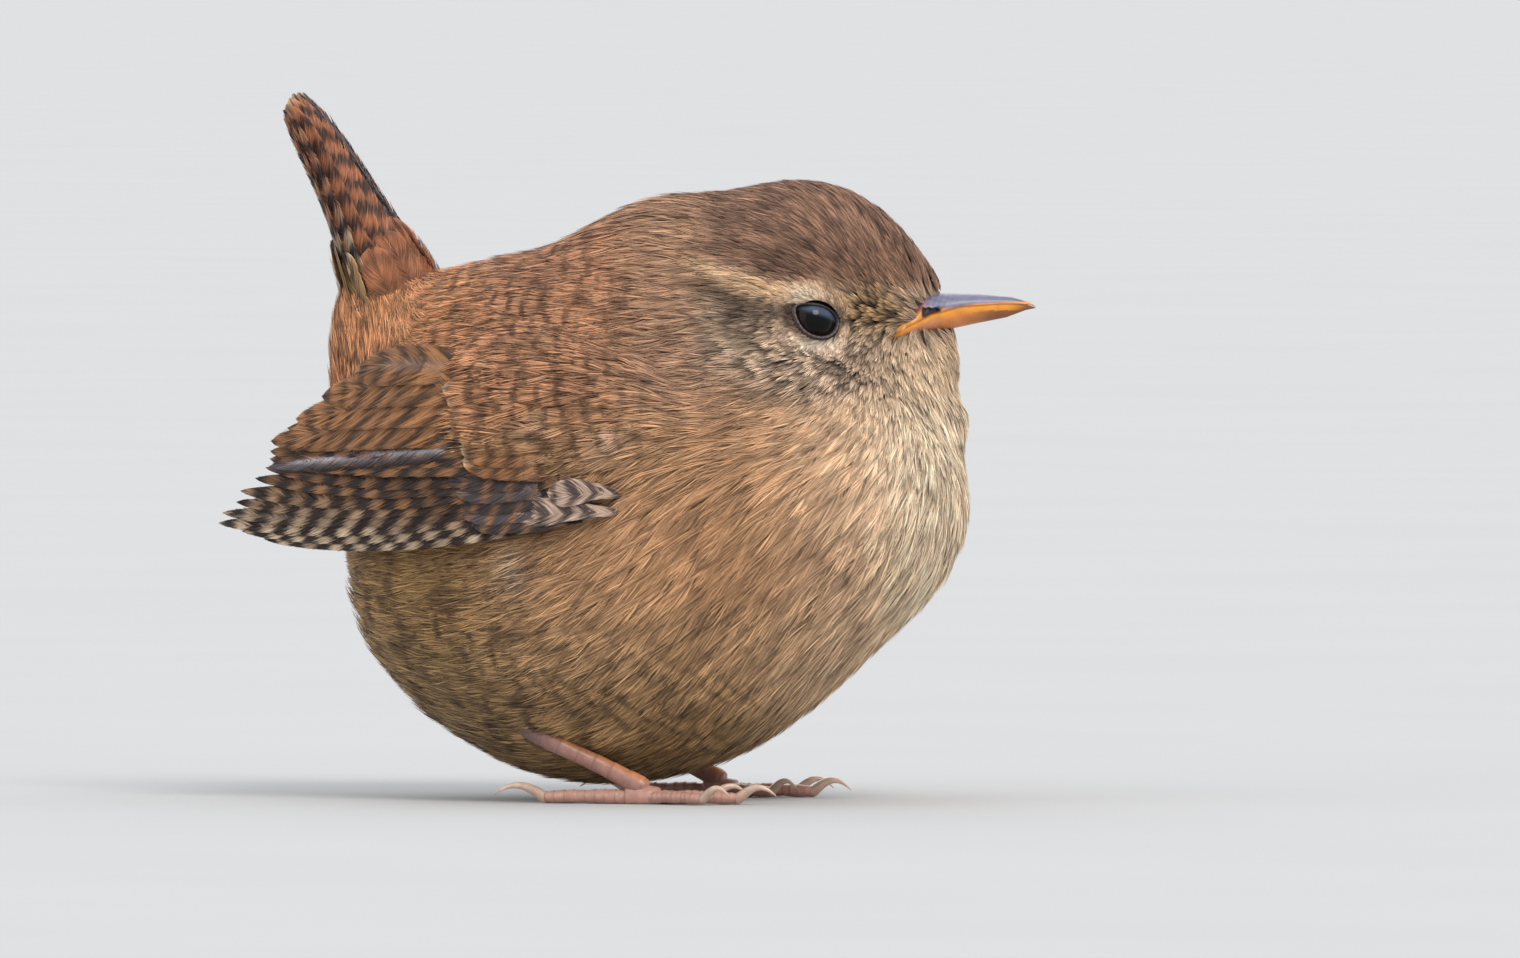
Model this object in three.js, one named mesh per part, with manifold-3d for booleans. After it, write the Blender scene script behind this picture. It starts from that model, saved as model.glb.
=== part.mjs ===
// A wren, life size, standing with its tail cocked and its head turned to its left.
// Millimetres. +X ahead, +Y to the bird's left, +Z up, and the floor is z = 0.
import * as THREE from "three";
import { mergeVertices } from "three/addons/utils/BufferGeometryUtils.js";
import Module from "manifold-3d";

const wasm = await Module();
wasm.setup();

// Clearances and mesh fineness
const GAP = 0.3;
const TORSO_DETAIL = 8;
const HEAD_DETAIL = 8;
const CUTTER_DETAIL = 4;
const SIDES = [["right", -1], ["left", 1]];

// The volumes that the plumage fills, each an ellipsoid: its centre, its half length, half width
// and half height, its tilt nose up in degrees, and the radius that blends it into those before.
const BODY_VOLUMES = {
  core: { at: [1, 0, 27], half: [24.5, 21.5, 21.5], tilt: 0, blend: 0 },
  breast: { at: [15, 0, 31], half: [18.9, 17.5, 15.5], tilt: -14, blend: 7 },
  belly: { at: [-1.5, 0, 18], half: [20.5, 18.5, 15], tilt: 17, blend: 9 },
  rear: { at: [-17.5, 0, 32], half: [12, 16.5, 20], tilt: -8, blend: 9 },
  rump: { at: [-25, 0, 41.5], half: [6.5, 7, 12.5], tilt: 18, blend: 8 },
  mantle: { at: [-5.5, 0, 40.5], half: [18.6, 17, 14.8], tilt: 15, blend: 7.5 },
};
// The same for the head, in the head's own frame, which turns about the neck.
const HEAD_VOLUMES = {
  nape: { at: [-4.2, 0, 46.7], half: [12, 10, 14], tilt: -5, blend: 5.5 },
  skull: { at: [7.8, 0, 50.4], half: [11.3, 7, 11.6], tilt: -5, blend: 5 },
  rightCheek: { at: [2.6, -3.4, 45.4], half: [7.4, 4.2, 7.6], tilt: 0, blend: 5 },
  leftCheek: { at: [2.6, 3.4, 45.4], half: [7.4, 4.2, 7.6], tilt: 0, blend: 5 },
  face: { at: [13.6, 0, 50], half: [10.8, 3.4, 7.2], tilt: -22, blend: 3 },
  throat: { at: [14, 0, 41.2], half: [11.6, 6.2, 4.8], tilt: -20, blend: 4 },
  rightBrow: { at: [7.2, -2.8, 50.4], half: [7.6, 4.6, 7], tilt: -12, blend: 4 },
  leftBrow: { at: [7.2, 2.8, 50.4], half: [7.6, 4.6, 7], tilt: -12, blend: 4 },
};
const HEAD_TURN = 18;
const NECK_PIVOT_X = 8;
const TORSO_CENTRE = new THREE.Vector3(0, 0, 30);
const HEAD_CENTRE = [8, 0, 48];

// The head ends at one ellipsoid and the neck at a larger one round the same centre.
const HEAD_CUT_CENTRE = [9.8, 0, 50.3];
const HEAD_CUT_HALF = [16.5, 15.5, 13.6];
const NECK_THICKNESS = 4.5;

// Eyes and lids
const EYE_AT = [10.1, 48.2];
const EYE_RADIUS = 2.7;
const EYE_OPENING = 2.2;
const LID_HALF_LENGTH = 2.45;
const LID_HALF_HEIGHT = 2.05;
const LID_SLANT = -14;
const LID_CORNER = 0.35;
const LID_THICKNESS = 0.45;
const LID_SIDES = 6;
const LID_STEPS = 18;

// Bill, in the head's frame: how far ahead it starts and ends, and its lines seen from the side
const BILL_ROOT_X = 17.2;
const BILL_TIP_X = 32;
const BILL_TIP_Z = 49.35;
const CULMEN = [[17.2, 50.2], [22, 50.75], [26, 50.65], [29.5, 50.35], [31.2, 49.85]];
const COMMISSURE = [[17.2, 46.2], [19, 47.3], [21.5, 48.6], [24.5, 49.4], [28.5, 49.65], [31, 49.6]];
const GONYS = [[17.2, 45.4], [19.5, 46.3], [23, 47.05], [26, 47.7], [29, 48.3], [31, 49.05]];
const BILL_HALF_WIDTHS = [[17.2, 4.9], [18.7, 4.25], [20.5, 3.2], [23, 2], [27, 1.15], [31, 0.4]];
const BILL_STATIONS = 10;
const BILL_ARC_STEPS = 6;
const NOSTRIL_AT = [21.2, 49.35];
const NOSTRIL_HALF = [1.2, 0.55, 0.26];
const NOSTRIL_TILT = 4;
const NOSTRIL_DETAIL = 1;

// Wings: the tip, and the line on which the folded wing leaves the body towards it
const WING_TIP_X = -40.5;
const WING_TIP_Y = 11;
const WING_SPLAY = 0.335;
const WING_LEAN = 0.3;
const WING_LEAN_FROM_Z = 31;
const WING_CAP_Y = 20;
const WING_BLEND = 1.5;

// The arm under the coverts: a low oval pad on the side of the body
const ARM_CENTRE = [-3.5, 34.8];
const ARM_HALF = [10.8, 6.9];
const ARM_TILT = -8;
const ARM_HEIGHT = 1.8;
const ARM_DEPTH = 1.2;
const ARM_RINGS = 3;
const ARM_SECTORS = 14;

// Feathers of a wing, from the leading edge up. Each tier runs from its first feather to its
// last: roots and tips in side view, the vane's half width, its lift off the body and its sag.
const VANE_THICKNESS = 0.55;
const VANE_TIP_THICKNESS = 0.3;
const VANE_TILT = 0.34;
const ROOT_LIFT = 0.6;
const WING_TIERS = {
  primaries: {
    count: 9, root: [[3, 29.4], [-2, 33.6]], tip: [[-42.9, 25.5], [-34.8, 33]],
    half: 0.95, lift: 0.95, sag: 0.9, segments: 5,
  },
  secondaries: {
    count: 4, root: [[-3, 34.2], [-7, 37]], tip: [[-34.4, 33.8], [-33, 35.6]],
    half: 1, lift: 1.35, sag: 0.2, segments: 4,
  },
  tertials: {
    count: 4, root: [[-8, 37.6], [-12, 42.8]], tip: [[-34, 35.4], [-25, 42.2]],
    half: 1.55, lift: 1.8, sag: -0.5, segments: 4, rootLift: -0.4,
  },
  primaryCoverts: {
    count: 5, root: [[1, 29], [-1, 32.6]], tip: [[-10, 27.6], [-12.4, 31.8]],
    half: 0.9, lift: 1.5, sag: 0.2, segments: 2,
  },
  greaterCoverts: {
    count: 6, root: [[-2, 33.2], [-6, 40.4]], tip: [[-11.6, 33], [-14.4, 40]],
    half: 1.2, lift: 2, sag: 0.1, segments: 2,
  },
  medianCoverts: {
    count: 5, root: [[2.5, 33.6], [-1, 40.6]], tip: [[-4.6, 33.4], [-7, 40.6]],
    half: 1.4, lift: 2.5, sag: 0, segments: 2,
  },
  lesserCoverts: {
    count: 5, root: [[7, 32], [4, 40.6]], tip: [[0.8, 33], [-2, 40.8]],
    half: 1.6, lift: 2.1, sag: 0, segments: 2,
  },
  alula: {
    count: 3, root: [[5, 29.6], [4, 32.2]], tip: [[-6, 28.6], [-2.5, 31.8]],
    half: 1.05, lift: 2, sag: 0.1, segments: 2,
  },
};
// How much shorter the outermost primaries are, and how tier lengths wander
const OUTER_PRIMARY_SHORTFALL = [8.6, 4.2, 0.6];
const LENGTH_WANDER = 0.35;

// Tail: its axis from base to tip, and its half depth and half width on the way
const TAIL_BASE = new THREE.Vector3(-26.3, 0, 50.5);
const TAIL_TIP = new THREE.Vector3(-35.4, 0, 70.2);
const TAIL_HALF_DEPTHS = [[-0.3, 4.6], [0, 4.8], [0.25, 4.3], [0.5, 3.3], [0.8, 2.1], [1, 1.3]];
const TAIL_HALF_WIDTHS = [[-0.3, 5], [0, 5.2], [0.25, 4.8], [0.5, 4.3], [0.8, 3.4], [1, 2.4]];
const TAIL_CORE = { from: -0.35, to: 0.42, share: 0.8, stations: 4, sides: 12 };
const TAIL_SOCKET_DEPTH = 2.4;
const TAIL_SOCKET_LENGTH = 30;
const TAIL_SOCKET_HALF = [6.6, 6.1];
const TAIL_SOCKET_SIDES = 16;
// Tiers of the tail: each feather's turn round the axis from the back ridge, and its reach
const TAIL_TIERS = {
  rectrices: {
    turns: [14, 38, 62, 86, 108, 128], from: -0.12, to: [1, 0.99, 0.95, 0.89, 0.82, 0.73],
    half: 1.35, lift: 0, segments: 4,
  },
  upperCoverts: {
    turns: [12, 42, 72], from: -0.2, to: [0.5, 0.44, 0.36], half: 1.6, lift: 0.55, segments: 2,
  },
  underCoverts: {
    turns: [166, 140, 114], from: -0.25, to: [0.34, 0.3, 0.24], half: 1.5, lift: 0.2, segments: 2,
  },
};

// Legs and feet, for the left side: the right one is their mirror image
const HEEL = [-8.9, 12, 8.2];
const ANKLE = [4.4, 12.5, 1.7];
const TARSUS_RADII = [[0, 1.25], [0.12, 1.0], [0.5, 0.82], [0.88, 0.9], [1, 1.05]];
const TARSUS_SIDES = 10;
const TARSUS_STEPS = 5;
const TOE_HEIGHT = 0.62;
const TOE_SIDES = 8;
const TOES = {
  middle: { from: 0.6, heading: -2, length: 9.2, radius: 0.78, claw: 4, pads: 3 },
  inner: { from: 0.5, heading: -25, length: 6.4, radius: 0.7, claw: 3.6, pads: 2 },
  outer: { from: 0.5, heading: 22, length: 7.2, radius: 0.7, claw: 3.6, pads: 3 },
  hind: { from: 1.6, heading: 176, length: 8.4, radius: 0.8, claw: 5.2, pads: 2 },
};
const TOE_STATIONS = 5;
const PAD_SWELL = 0.16;
const CLAW_BASE_SHARE = 0.72;
const CLAW_TIP_RADIUS = 0.1;
const CLAW_ARCH = 1.25;
const CLAW_ARCH_SHARE = 0.86;
const CLAW_DROOP = 0.34;
const CLAW_COLLAR = 0.3;
const CLAW_STATIONS = 4;
const CLAW_SIDES = 6;

// Colours
const COLOURS = {
  torso: 0x94704b,
  head: 0x86664a,
  neck: 0x8d6c4c,
  wing: 0x74533a,
  tail: 0x8a5433,
  eye: 0x0c0b0b,
  upperBill: 0x77748a,
  lowerBill: 0xc98a3c,
  leg: 0xa9705a,
  foot: 0xa9705a,
  claw: 0xb59a90,
};

const radians = THREE.MathUtils.degToRad;
const headCos = Math.cos(radians(HEAD_TURN));
const headSin = Math.sin(radians(HEAD_TURN));

// A value read off a line of [place, value] pairs, smoothed between them
function along(pairs, at) {
  if (at <= pairs[0][0]) return pairs[0][1];
  for (let i = 1; i < pairs.length; i++) {
    const [a, va] = pairs[i - 1];
    const [b, vb] = pairs[i];
    if (at <= b) return va + ((vb - va) * (at - a)) / (b - a);
  }
  return pairs.at(-1)[1];
}

function fromHead(x, y, z) {
  const ahead = NECK_PIVOT_X + x * headCos - y * headSin;
  return new THREE.Vector3(ahead, x * headSin + y * headCos, z);
}

// The body as a field: below zero inside the plumage and above it outside

function volumeTerms(volumes, inHead) {
  return Object.values(volumes).map((v) => ({
    ...v,
    inHead,
    cos: Math.cos(radians(v.tilt)),
    sin: Math.sin(radians(v.tilt)),
  }));
}

const TERMS = [...volumeTerms(BODY_VOLUMES, false), ...volumeTerms(HEAD_VOLUMES, true)];

function ellipsoidDistance(term, x, y, z) {
  const dx = x - term.at[0];
  const dy = y - term.at[1];
  const dz = z - term.at[2];
  const long = dx * term.cos + dz * term.sin;
  const high = dz * term.cos - dx * term.sin;
  const [a, b, c] = term.half;
  const near = Math.hypot(long / a, dy / b, high / c);
  const slope = Math.hypot(long / (a * a), dy / (b * b), high / (c * c));
  return (near * (near - 1)) / Math.max(slope, 1e-9);
}

function smoothMin(a, b, blend) {
  const h = Math.max(blend - Math.abs(a - b), 0) / blend;
  return Math.min(a, b) - (h * h * blend) / 4;
}

function plumage(p) {
  const dx = p.x - NECK_PIVOT_X;
  const hx = dx * headCos + p.y * headSin;
  const hy = p.y * headCos - dx * headSin;
  let value = Infinity;
  for (const term of TERMS) {
    const d = term.inHead
      ? ellipsoidDistance(term, hx, hy, p.z)
      : ellipsoidDistance(term, p.x, p.y, p.z);
    value = term.blend ? smoothMin(value, d, term.blend) : d;
  }
  return value;
}

function plumageNormal(p) {
  const step = 0.2;
  const n = new THREE.Vector3();
  for (const axis of ["x", "y", "z"]) {
    const a = p.clone();
    const b = p.clone();
    a[axis] += step;
    b[axis] -= step;
    n[axis] = plumage(a) - plumage(b);
  }
  return n.normalize();
}

// The first place where a ray leaves the field, within a half of a hundredth of a millimetre
function leave(from, direction, level, reach = 60) {
  const at = (d) => from.clone().addScaledVector(direction, d);
  let far = 1;
  while (far < reach && plumage(at(far)) < level) far += 1;
  let near = far - 1;
  for (let i = 0; i < 9; i++) {
    const middle = (near + far) / 2;
    if (plumage(at(middle)) < level) near = middle;
    else far = middle;
  }
  return at((near + far) / 2);
}

// Solids

function solidOf(geometry) {
  const bare = new THREE.BufferGeometry();
  bare.setAttribute("position", geometry.getAttribute("position").clone());
  if (geometry.index) bare.setIndex(geometry.index.clone());
  const merged = mergeVertices(bare, 1e-4);
  const mesh = new wasm.Mesh({
    numProp: 3,
    vertProperties: new Float32Array(merged.attributes.position.array),
    triVerts: new Uint32Array(merged.index.array),
  });
  return new wasm.Manifold(mesh);
}

function geometryOf(solid) {
  const mesh = solid.getMesh();
  const geometry = new THREE.BufferGeometry();
  geometry.setAttribute("position", new THREE.BufferAttribute(mesh.vertProperties, 3));
  geometry.setIndex(new THREE.BufferAttribute(mesh.triVerts, 1));
  geometry.computeVertexNormals();
  return geometry;
}

// A closed surface of points and triangles, turned to face outwards
function closed(points, triangles) {
  let volume = 0;
  for (const [a, b, c] of triangles) {
    volume += points[a].dot(points[b].clone().cross(points[c]));
  }
  const faced = volume < 0 ? triangles.map(([a, b, c]) => [a, c, b]) : triangles;
  const geometry = new THREE.BufferGeometry().setFromPoints(points);
  geometry.setIndex(faced.flat());
  return solidOf(geometry);
}

function largest(solid) {
  const bodies = solid.decompose();
  return bodies.reduce((best, body) => (body.volume() > best.volume() ? body : best));
}

function joined(solids) {
  return solids.reduce((sum, solid) => sum.add(solid));
}

// Rings of equal counts of points joined into a closed skin, with a middle point at each end
function loft(rings) {
  const count = rings[0].length;
  const points = rings.flat();
  const triangles = [];
  for (let i = 0; i + 1 < rings.length; i++) {
    for (let j = 0; j < count; j++) {
      const a = i * count + j;
      const b = i * count + ((j + 1) % count);
      triangles.push([a, b, b + count], [a, b + count, a + count]);
    }
  }
  const ends = [0, rings.length - 1];
  for (const end of ends) {
    const middle = new THREE.Vector3();
    rings[end].forEach((p) => middle.addScaledVector(p, 1 / count));
    const m = points.push(middle) - 1;
    for (let j = 0; j < count; j++) {
      const a = end * count + j;
      const b = end * count + ((j + 1) % count);
      triangles.push(end ? [a, b, m] : [b, a, m]);
    }
  }
  return closed(points, triangles);
}

// A round bar along a path, with its own radius at each station
function bar(path, radii, sides) {
  const rings = path.map((p, i) => {
    const before = path[Math.max(i - 1, 0)];
    const after = path[Math.min(i + 1, path.length - 1)];
    const forward = after.clone().sub(before).normalize();
    const across = new THREE.Vector3(-forward.y, forward.x, 0).normalize();
    const up = forward.clone().cross(across);
    return Array.from({ length: sides }, (_, j) => {
      const turn = (2 * Math.PI * (j + 0.5)) / sides;
      return p
        .clone()
        .addScaledVector(across, radii[i] * Math.cos(turn))
        .addScaledVector(up, radii[i] * Math.sin(turn));
    });
  });
  return loft(rings);
}

function starSolid(centre, level, detail) {
  const sphere = new THREE.IcosahedronGeometry(1, detail);
  const place = sphere.getAttribute("position");
  for (let i = 0; i < place.count; i++) {
    const direction = new THREE.Vector3().fromBufferAttribute(place, i).normalize();
    const p = leave(centre, direction, level);
    place.setXYZ(i, p.x, p.y, p.z);
  }
  return solidOf(sphere);
}

function ellipsoid(centre, half, detail, place) {
  const sphere = new THREE.IcosahedronGeometry(1, detail);
  sphere.scale(...half);
  sphere.translate(...centre);
  const at = sphere.getAttribute("position");
  for (let i = 0; i < at.count; i++) {
    const p = place(at.getX(i), at.getY(i), at.getZ(i));
    at.setXYZ(i, p.x, p.y, p.z);
  }
  return solidOf(sphere);
}

function grown(half, by) {
  return half.map((h) => h + by);
}

function headEllipsoid(by) {
  return ellipsoid(HEAD_CUT_CENTRE, grown(HEAD_CUT_HALF, by), CUTTER_DETAIL, fromHead);
}

// The eye's place: under the head's surface by the depth that leaves the wanted opening

function eyePlace(side) {
  const [x, z] = EYE_AT;
  const inward = fromHead(x, 0, z);
  const outward = fromHead(x, side, z).sub(inward).normalize();
  const surface = leave(inward, outward, 0, 20);
  const normal = plumageNormal(surface);
  const socket = EYE_RADIUS + GAP;
  const depth = Math.sqrt(socket * socket - EYE_OPENING * EYE_OPENING);
  return { surface, normal, centre: surface.clone().addScaledVector(normal, -depth) };
}

function eyeball(place, radius) {
  const sphere = new THREE.IcosahedronGeometry(radius, 3);
  sphere.translate(place.centre.x, place.centre.y, place.centre.z);
  return solidOf(sphere);
}

// The rim of skin round the eye: an almond ring with its corner up and to the rear
function lidRing(place) {
  const up = new THREE.Vector3(0, 0, 1);
  const ahead = up.clone().cross(place.normal).normalize();
  if (ahead.x < 0) ahead.negate();
  const high = up.clone().addScaledVector(place.normal, -up.dot(place.normal)).normalize();
  const slant = radians(LID_SLANT);
  const ringPoints = Array.from({ length: LID_STEPS }, (_, i) => {
    const turn = (2 * Math.PI * i) / LID_STEPS;
    const rear = Math.max(-Math.cos(turn), 0) ** 6;
    const long = LID_HALF_LENGTH * Math.cos(turn) - LID_CORNER * rear;
    const tall = LID_HALF_HEIGHT * Math.sin(turn) + LID_CORNER * rear;
    const x = long * Math.cos(slant) - tall * Math.sin(slant);
    const z = long * Math.sin(slant) + tall * Math.cos(slant);
    return place.surface.clone().addScaledVector(ahead, x).addScaledVector(high, z);
  });
  const sections = ringPoints.map((p, i) => {
    const next = ringPoints[(i + 1) % LID_STEPS];
    const last = ringPoints[(i + LID_STEPS - 1) % LID_STEPS];
    const forward = next.clone().sub(last).normalize();
    const normal = plumageNormal(p);
    const seat = p.clone().addScaledVector(normal, -plumage(p));
    const across = forward.clone().cross(normal).normalize();
    return Array.from({ length: LID_SIDES }, (_, j) => {
      const turn = (2 * Math.PI * j) / LID_SIDES;
      return seat
        .clone()
        .addScaledVector(across, LID_THICKNESS * Math.cos(turn))
        .addScaledVector(normal, LID_THICKNESS * Math.sin(turn));
    });
  });
  const points = sections.flat();
  const triangles = [];
  for (let i = 0; i < LID_STEPS; i++) {
    for (let j = 0; j < LID_SIDES; j++) {
      const next = (i + 1) % LID_STEPS;
      const a = i * LID_SIDES + j;
      const b = i * LID_SIDES + ((j + 1) % LID_SIDES);
      const c = next * LID_SIDES + ((j + 1) % LID_SIDES);
      const d = next * LID_SIDES + j;
      triangles.push([a, b, c], [a, c, d]);
    }
  }
  return closed(points, triangles);
}

// Bill

// One mandible: half an oval at each station, between the line of the mouth and an outer line
function mandible(outerLine, closingSide) {
  const rings = [];
  for (let i = 0; i <= BILL_STATIONS; i++) {
    const x = BILL_ROOT_X + ((BILL_TIP_X - BILL_ROOT_X) * i) / BILL_STATIONS;
    const mouth = along([...COMMISSURE, [BILL_TIP_X, BILL_TIP_Z]], x) + (closingSide * GAP) / 2;
    const outer = along([...outerLine, [BILL_TIP_X, BILL_TIP_Z]], x);
    const depth = Math.max(closingSide * (outer - mouth), 0.12) * closingSide;
    const width = Math.max(along(BILL_HALF_WIDTHS, x), 0.15);
    const ring = [];
    for (let j = 0; j <= BILL_ARC_STEPS; j++) {
      const turn = (Math.PI * j) / BILL_ARC_STEPS;
      ring.push(fromHead(x, width * Math.cos(turn), mouth + depth * Math.sin(turn) ** 0.9));
    }
    rings.push(ring);
  }
  return loft(rings);
}

function nostril(side) {
  const [x, z] = NOSTRIL_AT;
  const lean = radians(NOSTRIL_TILT);
  const half = along(BILL_HALF_WIDTHS, x);
  return ellipsoid([0, 0, 0], NOSTRIL_HALF, NOSTRIL_DETAIL, (px, py, pz) =>
    fromHead(
      x + px * Math.cos(lean) + pz * Math.sin(lean),
      side * half * 0.98 + py,
      z + pz * Math.cos(lean) - px * Math.sin(lean),
    ),
  );
}

// Wings

function bodySide(x, z) {
  const inside = new THREE.Vector3(x, 0, z);
  if (plumage(inside) > 0) return -Infinity;
  return leave(inside, new THREE.Vector3(0, 1, 0), 0, 40).y;
}

// How far out the wing's sheet lies: on the plumage, and behind it on a line to the wing tip
function wingSheet(x, z) {
  const lean = WING_LEAN * Math.max(z - WING_LEAN_FROM_Z, 0);
  const free = Math.min(WING_TIP_Y + WING_SPLAY * (x - WING_TIP_X), WING_CAP_Y) - lean;
  const side = bodySide(x, z) + GAP;
  if (!Number.isFinite(side)) return free;
  return -smoothMin(-free, -side, WING_BLEND);
}

function wingStation(x, z, lift) {
  const step = 0.4;
  const y = wingSheet(x, z);
  const slopeX = (wingSheet(x + step, z) - wingSheet(x - step, z)) / (2 * step);
  const slopeZ = (wingSheet(x, z + step) - wingSheet(x, z - step)) / (2 * step);
  const out = new THREE.Vector3(-slopeX, 1, -slopeZ).normalize();
  return { at: new THREE.Vector3(x, y, z).addScaledVector(out, lift), out };
}

// A vane's half width on its way from root to tip, as a share of the widest
function vaneShape(t) {
  const root = Math.min(0.6 + 1.4 * t, 1);
  const round = Math.max((t - 0.72) / 0.28, 0);
  return root * Math.sqrt(Math.max(1 - round * round, 0.02));
}

// One feather: a thin plate through its stations, its near edge lifted over its neighbour's.
// Both faces are split alike.
function vane(stations, half, tilt) {
  const points = [];
  const last = stations.length - 1;
  stations.forEach(({ at, out }, i) => {
    const t = i / last;
    const before = stations[Math.max(i - 1, 0)].at;
    const after = stations[Math.min(i + 1, last)].at;
    const run = after.clone().sub(before).normalize();
    const across = out.clone().cross(run).normalize();
    const reach = half * vaneShape(t);
    const thick = (VANE_THICKNESS + (VANE_TIP_THICKNESS - VANE_THICKNESS) * t) / 2;
    for (const [edge, face] of [[-1, 1], [1, 1], [1, -1], [-1, -1]]) {
      const raise = -edge * tilt * reach + face * thick;
      points.push(at.clone().addScaledVector(across, edge * reach).addScaledVector(out, raise));
    }
  });
  const triangles = [];
  for (let i = 0; i < last; i++) {
    const [L, U, u, l] = [0, 1, 2, 3].map((corner) => 4 * i + corner);
    triangles.push([L, L + 4, U + 4], [L, U + 4, U], [l, u + 4, l + 4], [l, u, u + 4]);
    triangles.push([L, l, l + 4], [L, l + 4, L + 4], [U, u + 4, u], [U, U + 4, u + 4]);
  }
  const end = 4 * last;
  triangles.push([0, 1, 2], [0, 2, 3], [end, end + 2, end + 1], [end, end + 3, end + 2]);
  return closed(points, triangles);
}

function between([a, b], share) {
  return [a[0] + (b[0] - a[0]) * share, a[1] + (b[1] - a[1]) * share];
}

// One tier of a wing's feathers, for the left wing
function wingTier(name, tier) {
  const vanes = [];
  for (let k = 0; k < tier.count; k++) {
    const share = k / (tier.count - 1);
    const [rootX, rootZ] = between(tier.root, share);
    const [tipX, tipZ] = between(tier.tip, share);
    const wander = LENGTH_WANDER * Math.sin(2.4 * k + tier.count);
    const short = name === "primaries" ? (OUTER_PRIMARY_SHORTFALL[k] ?? 0) : 0;
    const reach = 1 + (wander - short) / Math.hypot(tipX - rootX, tipZ - rootZ);
    const stations = [];
    for (let i = 0; i <= tier.segments; i++) {
      const t = i / tier.segments;
      const x = rootX + (tipX - rootX) * reach * t;
      const z = rootZ + (tipZ - rootZ) * reach * t - 4 * tier.sag * t * (1 - t);
      const rootLift = tier.rootLift ?? ROOT_LIFT;
      const lift = rootLift + (tier.lift - rootLift) * Math.min(3 * t, 1);
      stations.push(wingStation(x, z, lift));
    }
    vanes.push(vane(stations, tier.half, VANE_TILT));
  }
  return vanes;
}

function armPad() {
  const tilt = radians(ARM_TILT);
  const place = (ring, sector, lift) => {
    const r = ring / ARM_RINGS;
    const turn = (2 * Math.PI * sector) / ARM_SECTORS;
    const a = ARM_HALF[0] * r * Math.cos(turn);
    const b = ARM_HALF[1] * r * Math.sin(turn);
    const x = ARM_CENTRE[0] + a * Math.cos(tilt) - b * Math.sin(tilt);
    const z = ARM_CENTRE[1] + a * Math.sin(tilt) + b * Math.cos(tilt);
    return wingStation(x, z, lift(r)).at;
  };
  const outer = (r) => ARM_HEIGHT * Math.sqrt(Math.max(1 - r * r, 0.03));
  const inner = () => -ARM_DEPTH;
  const rings = [];
  for (const [lift, order] of [[inner, [0.2, 1, 2, 3]], [outer, [3, 2, 1, 0.2]]]) {
    for (const ring of order) {
      rings.push(Array.from({ length: ARM_SECTORS }, (_, sector) => place(ring, sector, lift)));
    }
  }
  return loft(rings);
}

function flip(solid) {
  const geometry = geometryOf(solid);
  geometry.scale(1, -1, 1);
  const at = geometry.getAttribute("position");
  const points = Array.from({ length: at.count }, (_, i) =>
    new THREE.Vector3().fromBufferAttribute(at, i),
  );
  const index = Array.from(geometry.index.array);
  const triangles = [];
  for (let i = 0; i < index.length; i += 3) triangles.push(index.slice(i, i + 3));
  return closed(points, triangles);
}

// The left wing: the arm with its tiers of vanes rooted in it
function leftWing() {
  const tiers = Object.entries(WING_TIERS).flatMap(([name, tier]) => wingTier(name, tier));
  return joined([armPad(), ...tiers]);
}

// Tail

// A place on the tail's outer form: a share of its length, and a turn from its ridge
function tailStation(t, turn, lift) {
  const run = TAIL_TIP.clone().sub(TAIL_BASE);
  const forward = new THREE.Vector3(run.z, 0, -run.x).normalize();
  const deep = along(TAIL_HALF_DEPTHS, t);
  const wide = along(TAIL_HALF_WIDTHS, t);
  const out = forward
    .clone()
    .multiplyScalar(Math.cos(turn) / deep)
    .add(new THREE.Vector3(0, Math.sin(turn) / wide, 0))
    .normalize();
  const at = TAIL_BASE.clone()
    .addScaledVector(run, t)
    .addScaledVector(forward, deep * Math.cos(turn))
    .add(new THREE.Vector3(0, wide * Math.sin(turn), 0))
    .addScaledVector(out, lift);
  return { at, out };
}

function tailCore() {
  const rings = [];
  for (let i = 0; i <= TAIL_CORE.stations; i++) {
    const share = i / TAIL_CORE.stations;
    const t = TAIL_CORE.from + (TAIL_CORE.to - TAIL_CORE.from) * share;
    const shrink = TAIL_CORE.share * Math.sqrt(1 - 0.85 * share ** 3);
    const axis = TAIL_BASE.clone().lerp(TAIL_TIP, t);
    rings.push(
      Array.from({ length: TAIL_CORE.sides }, (_, j) => {
        const turn = (2 * Math.PI * j) / TAIL_CORE.sides;
        return axis.clone().lerp(tailStation(t, turn, 0).at, shrink);
      }),
    );
  }
  return loft(rings);
}

// One tier of the tail, both sides: the feather nearer the ridge lies over the next
function tailTier(tier) {
  return tier.turns.flatMap((degrees, k) =>
    [-1, 1].map((side) => {
      const stations = [];
      for (let i = 0; i <= tier.segments; i++) {
        const share = i / tier.segments;
        const t = tier.from + (tier.to[k] - tier.from) * share;
        const lift = tier.lift * Math.min(3 * share, 1) - ROOT_LIFT * Math.max(1 - 3 * share, 0);
        stations.push(tailStation(t, side * radians(degrees), lift));
      }
      return vane(stations, tier.half, -side * VANE_TILT);
    }),
  );
}

function featheredTail() {
  return joined([tailCore(), ...Object.values(TAIL_TIERS).flatMap(tailTier)]);
}

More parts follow.
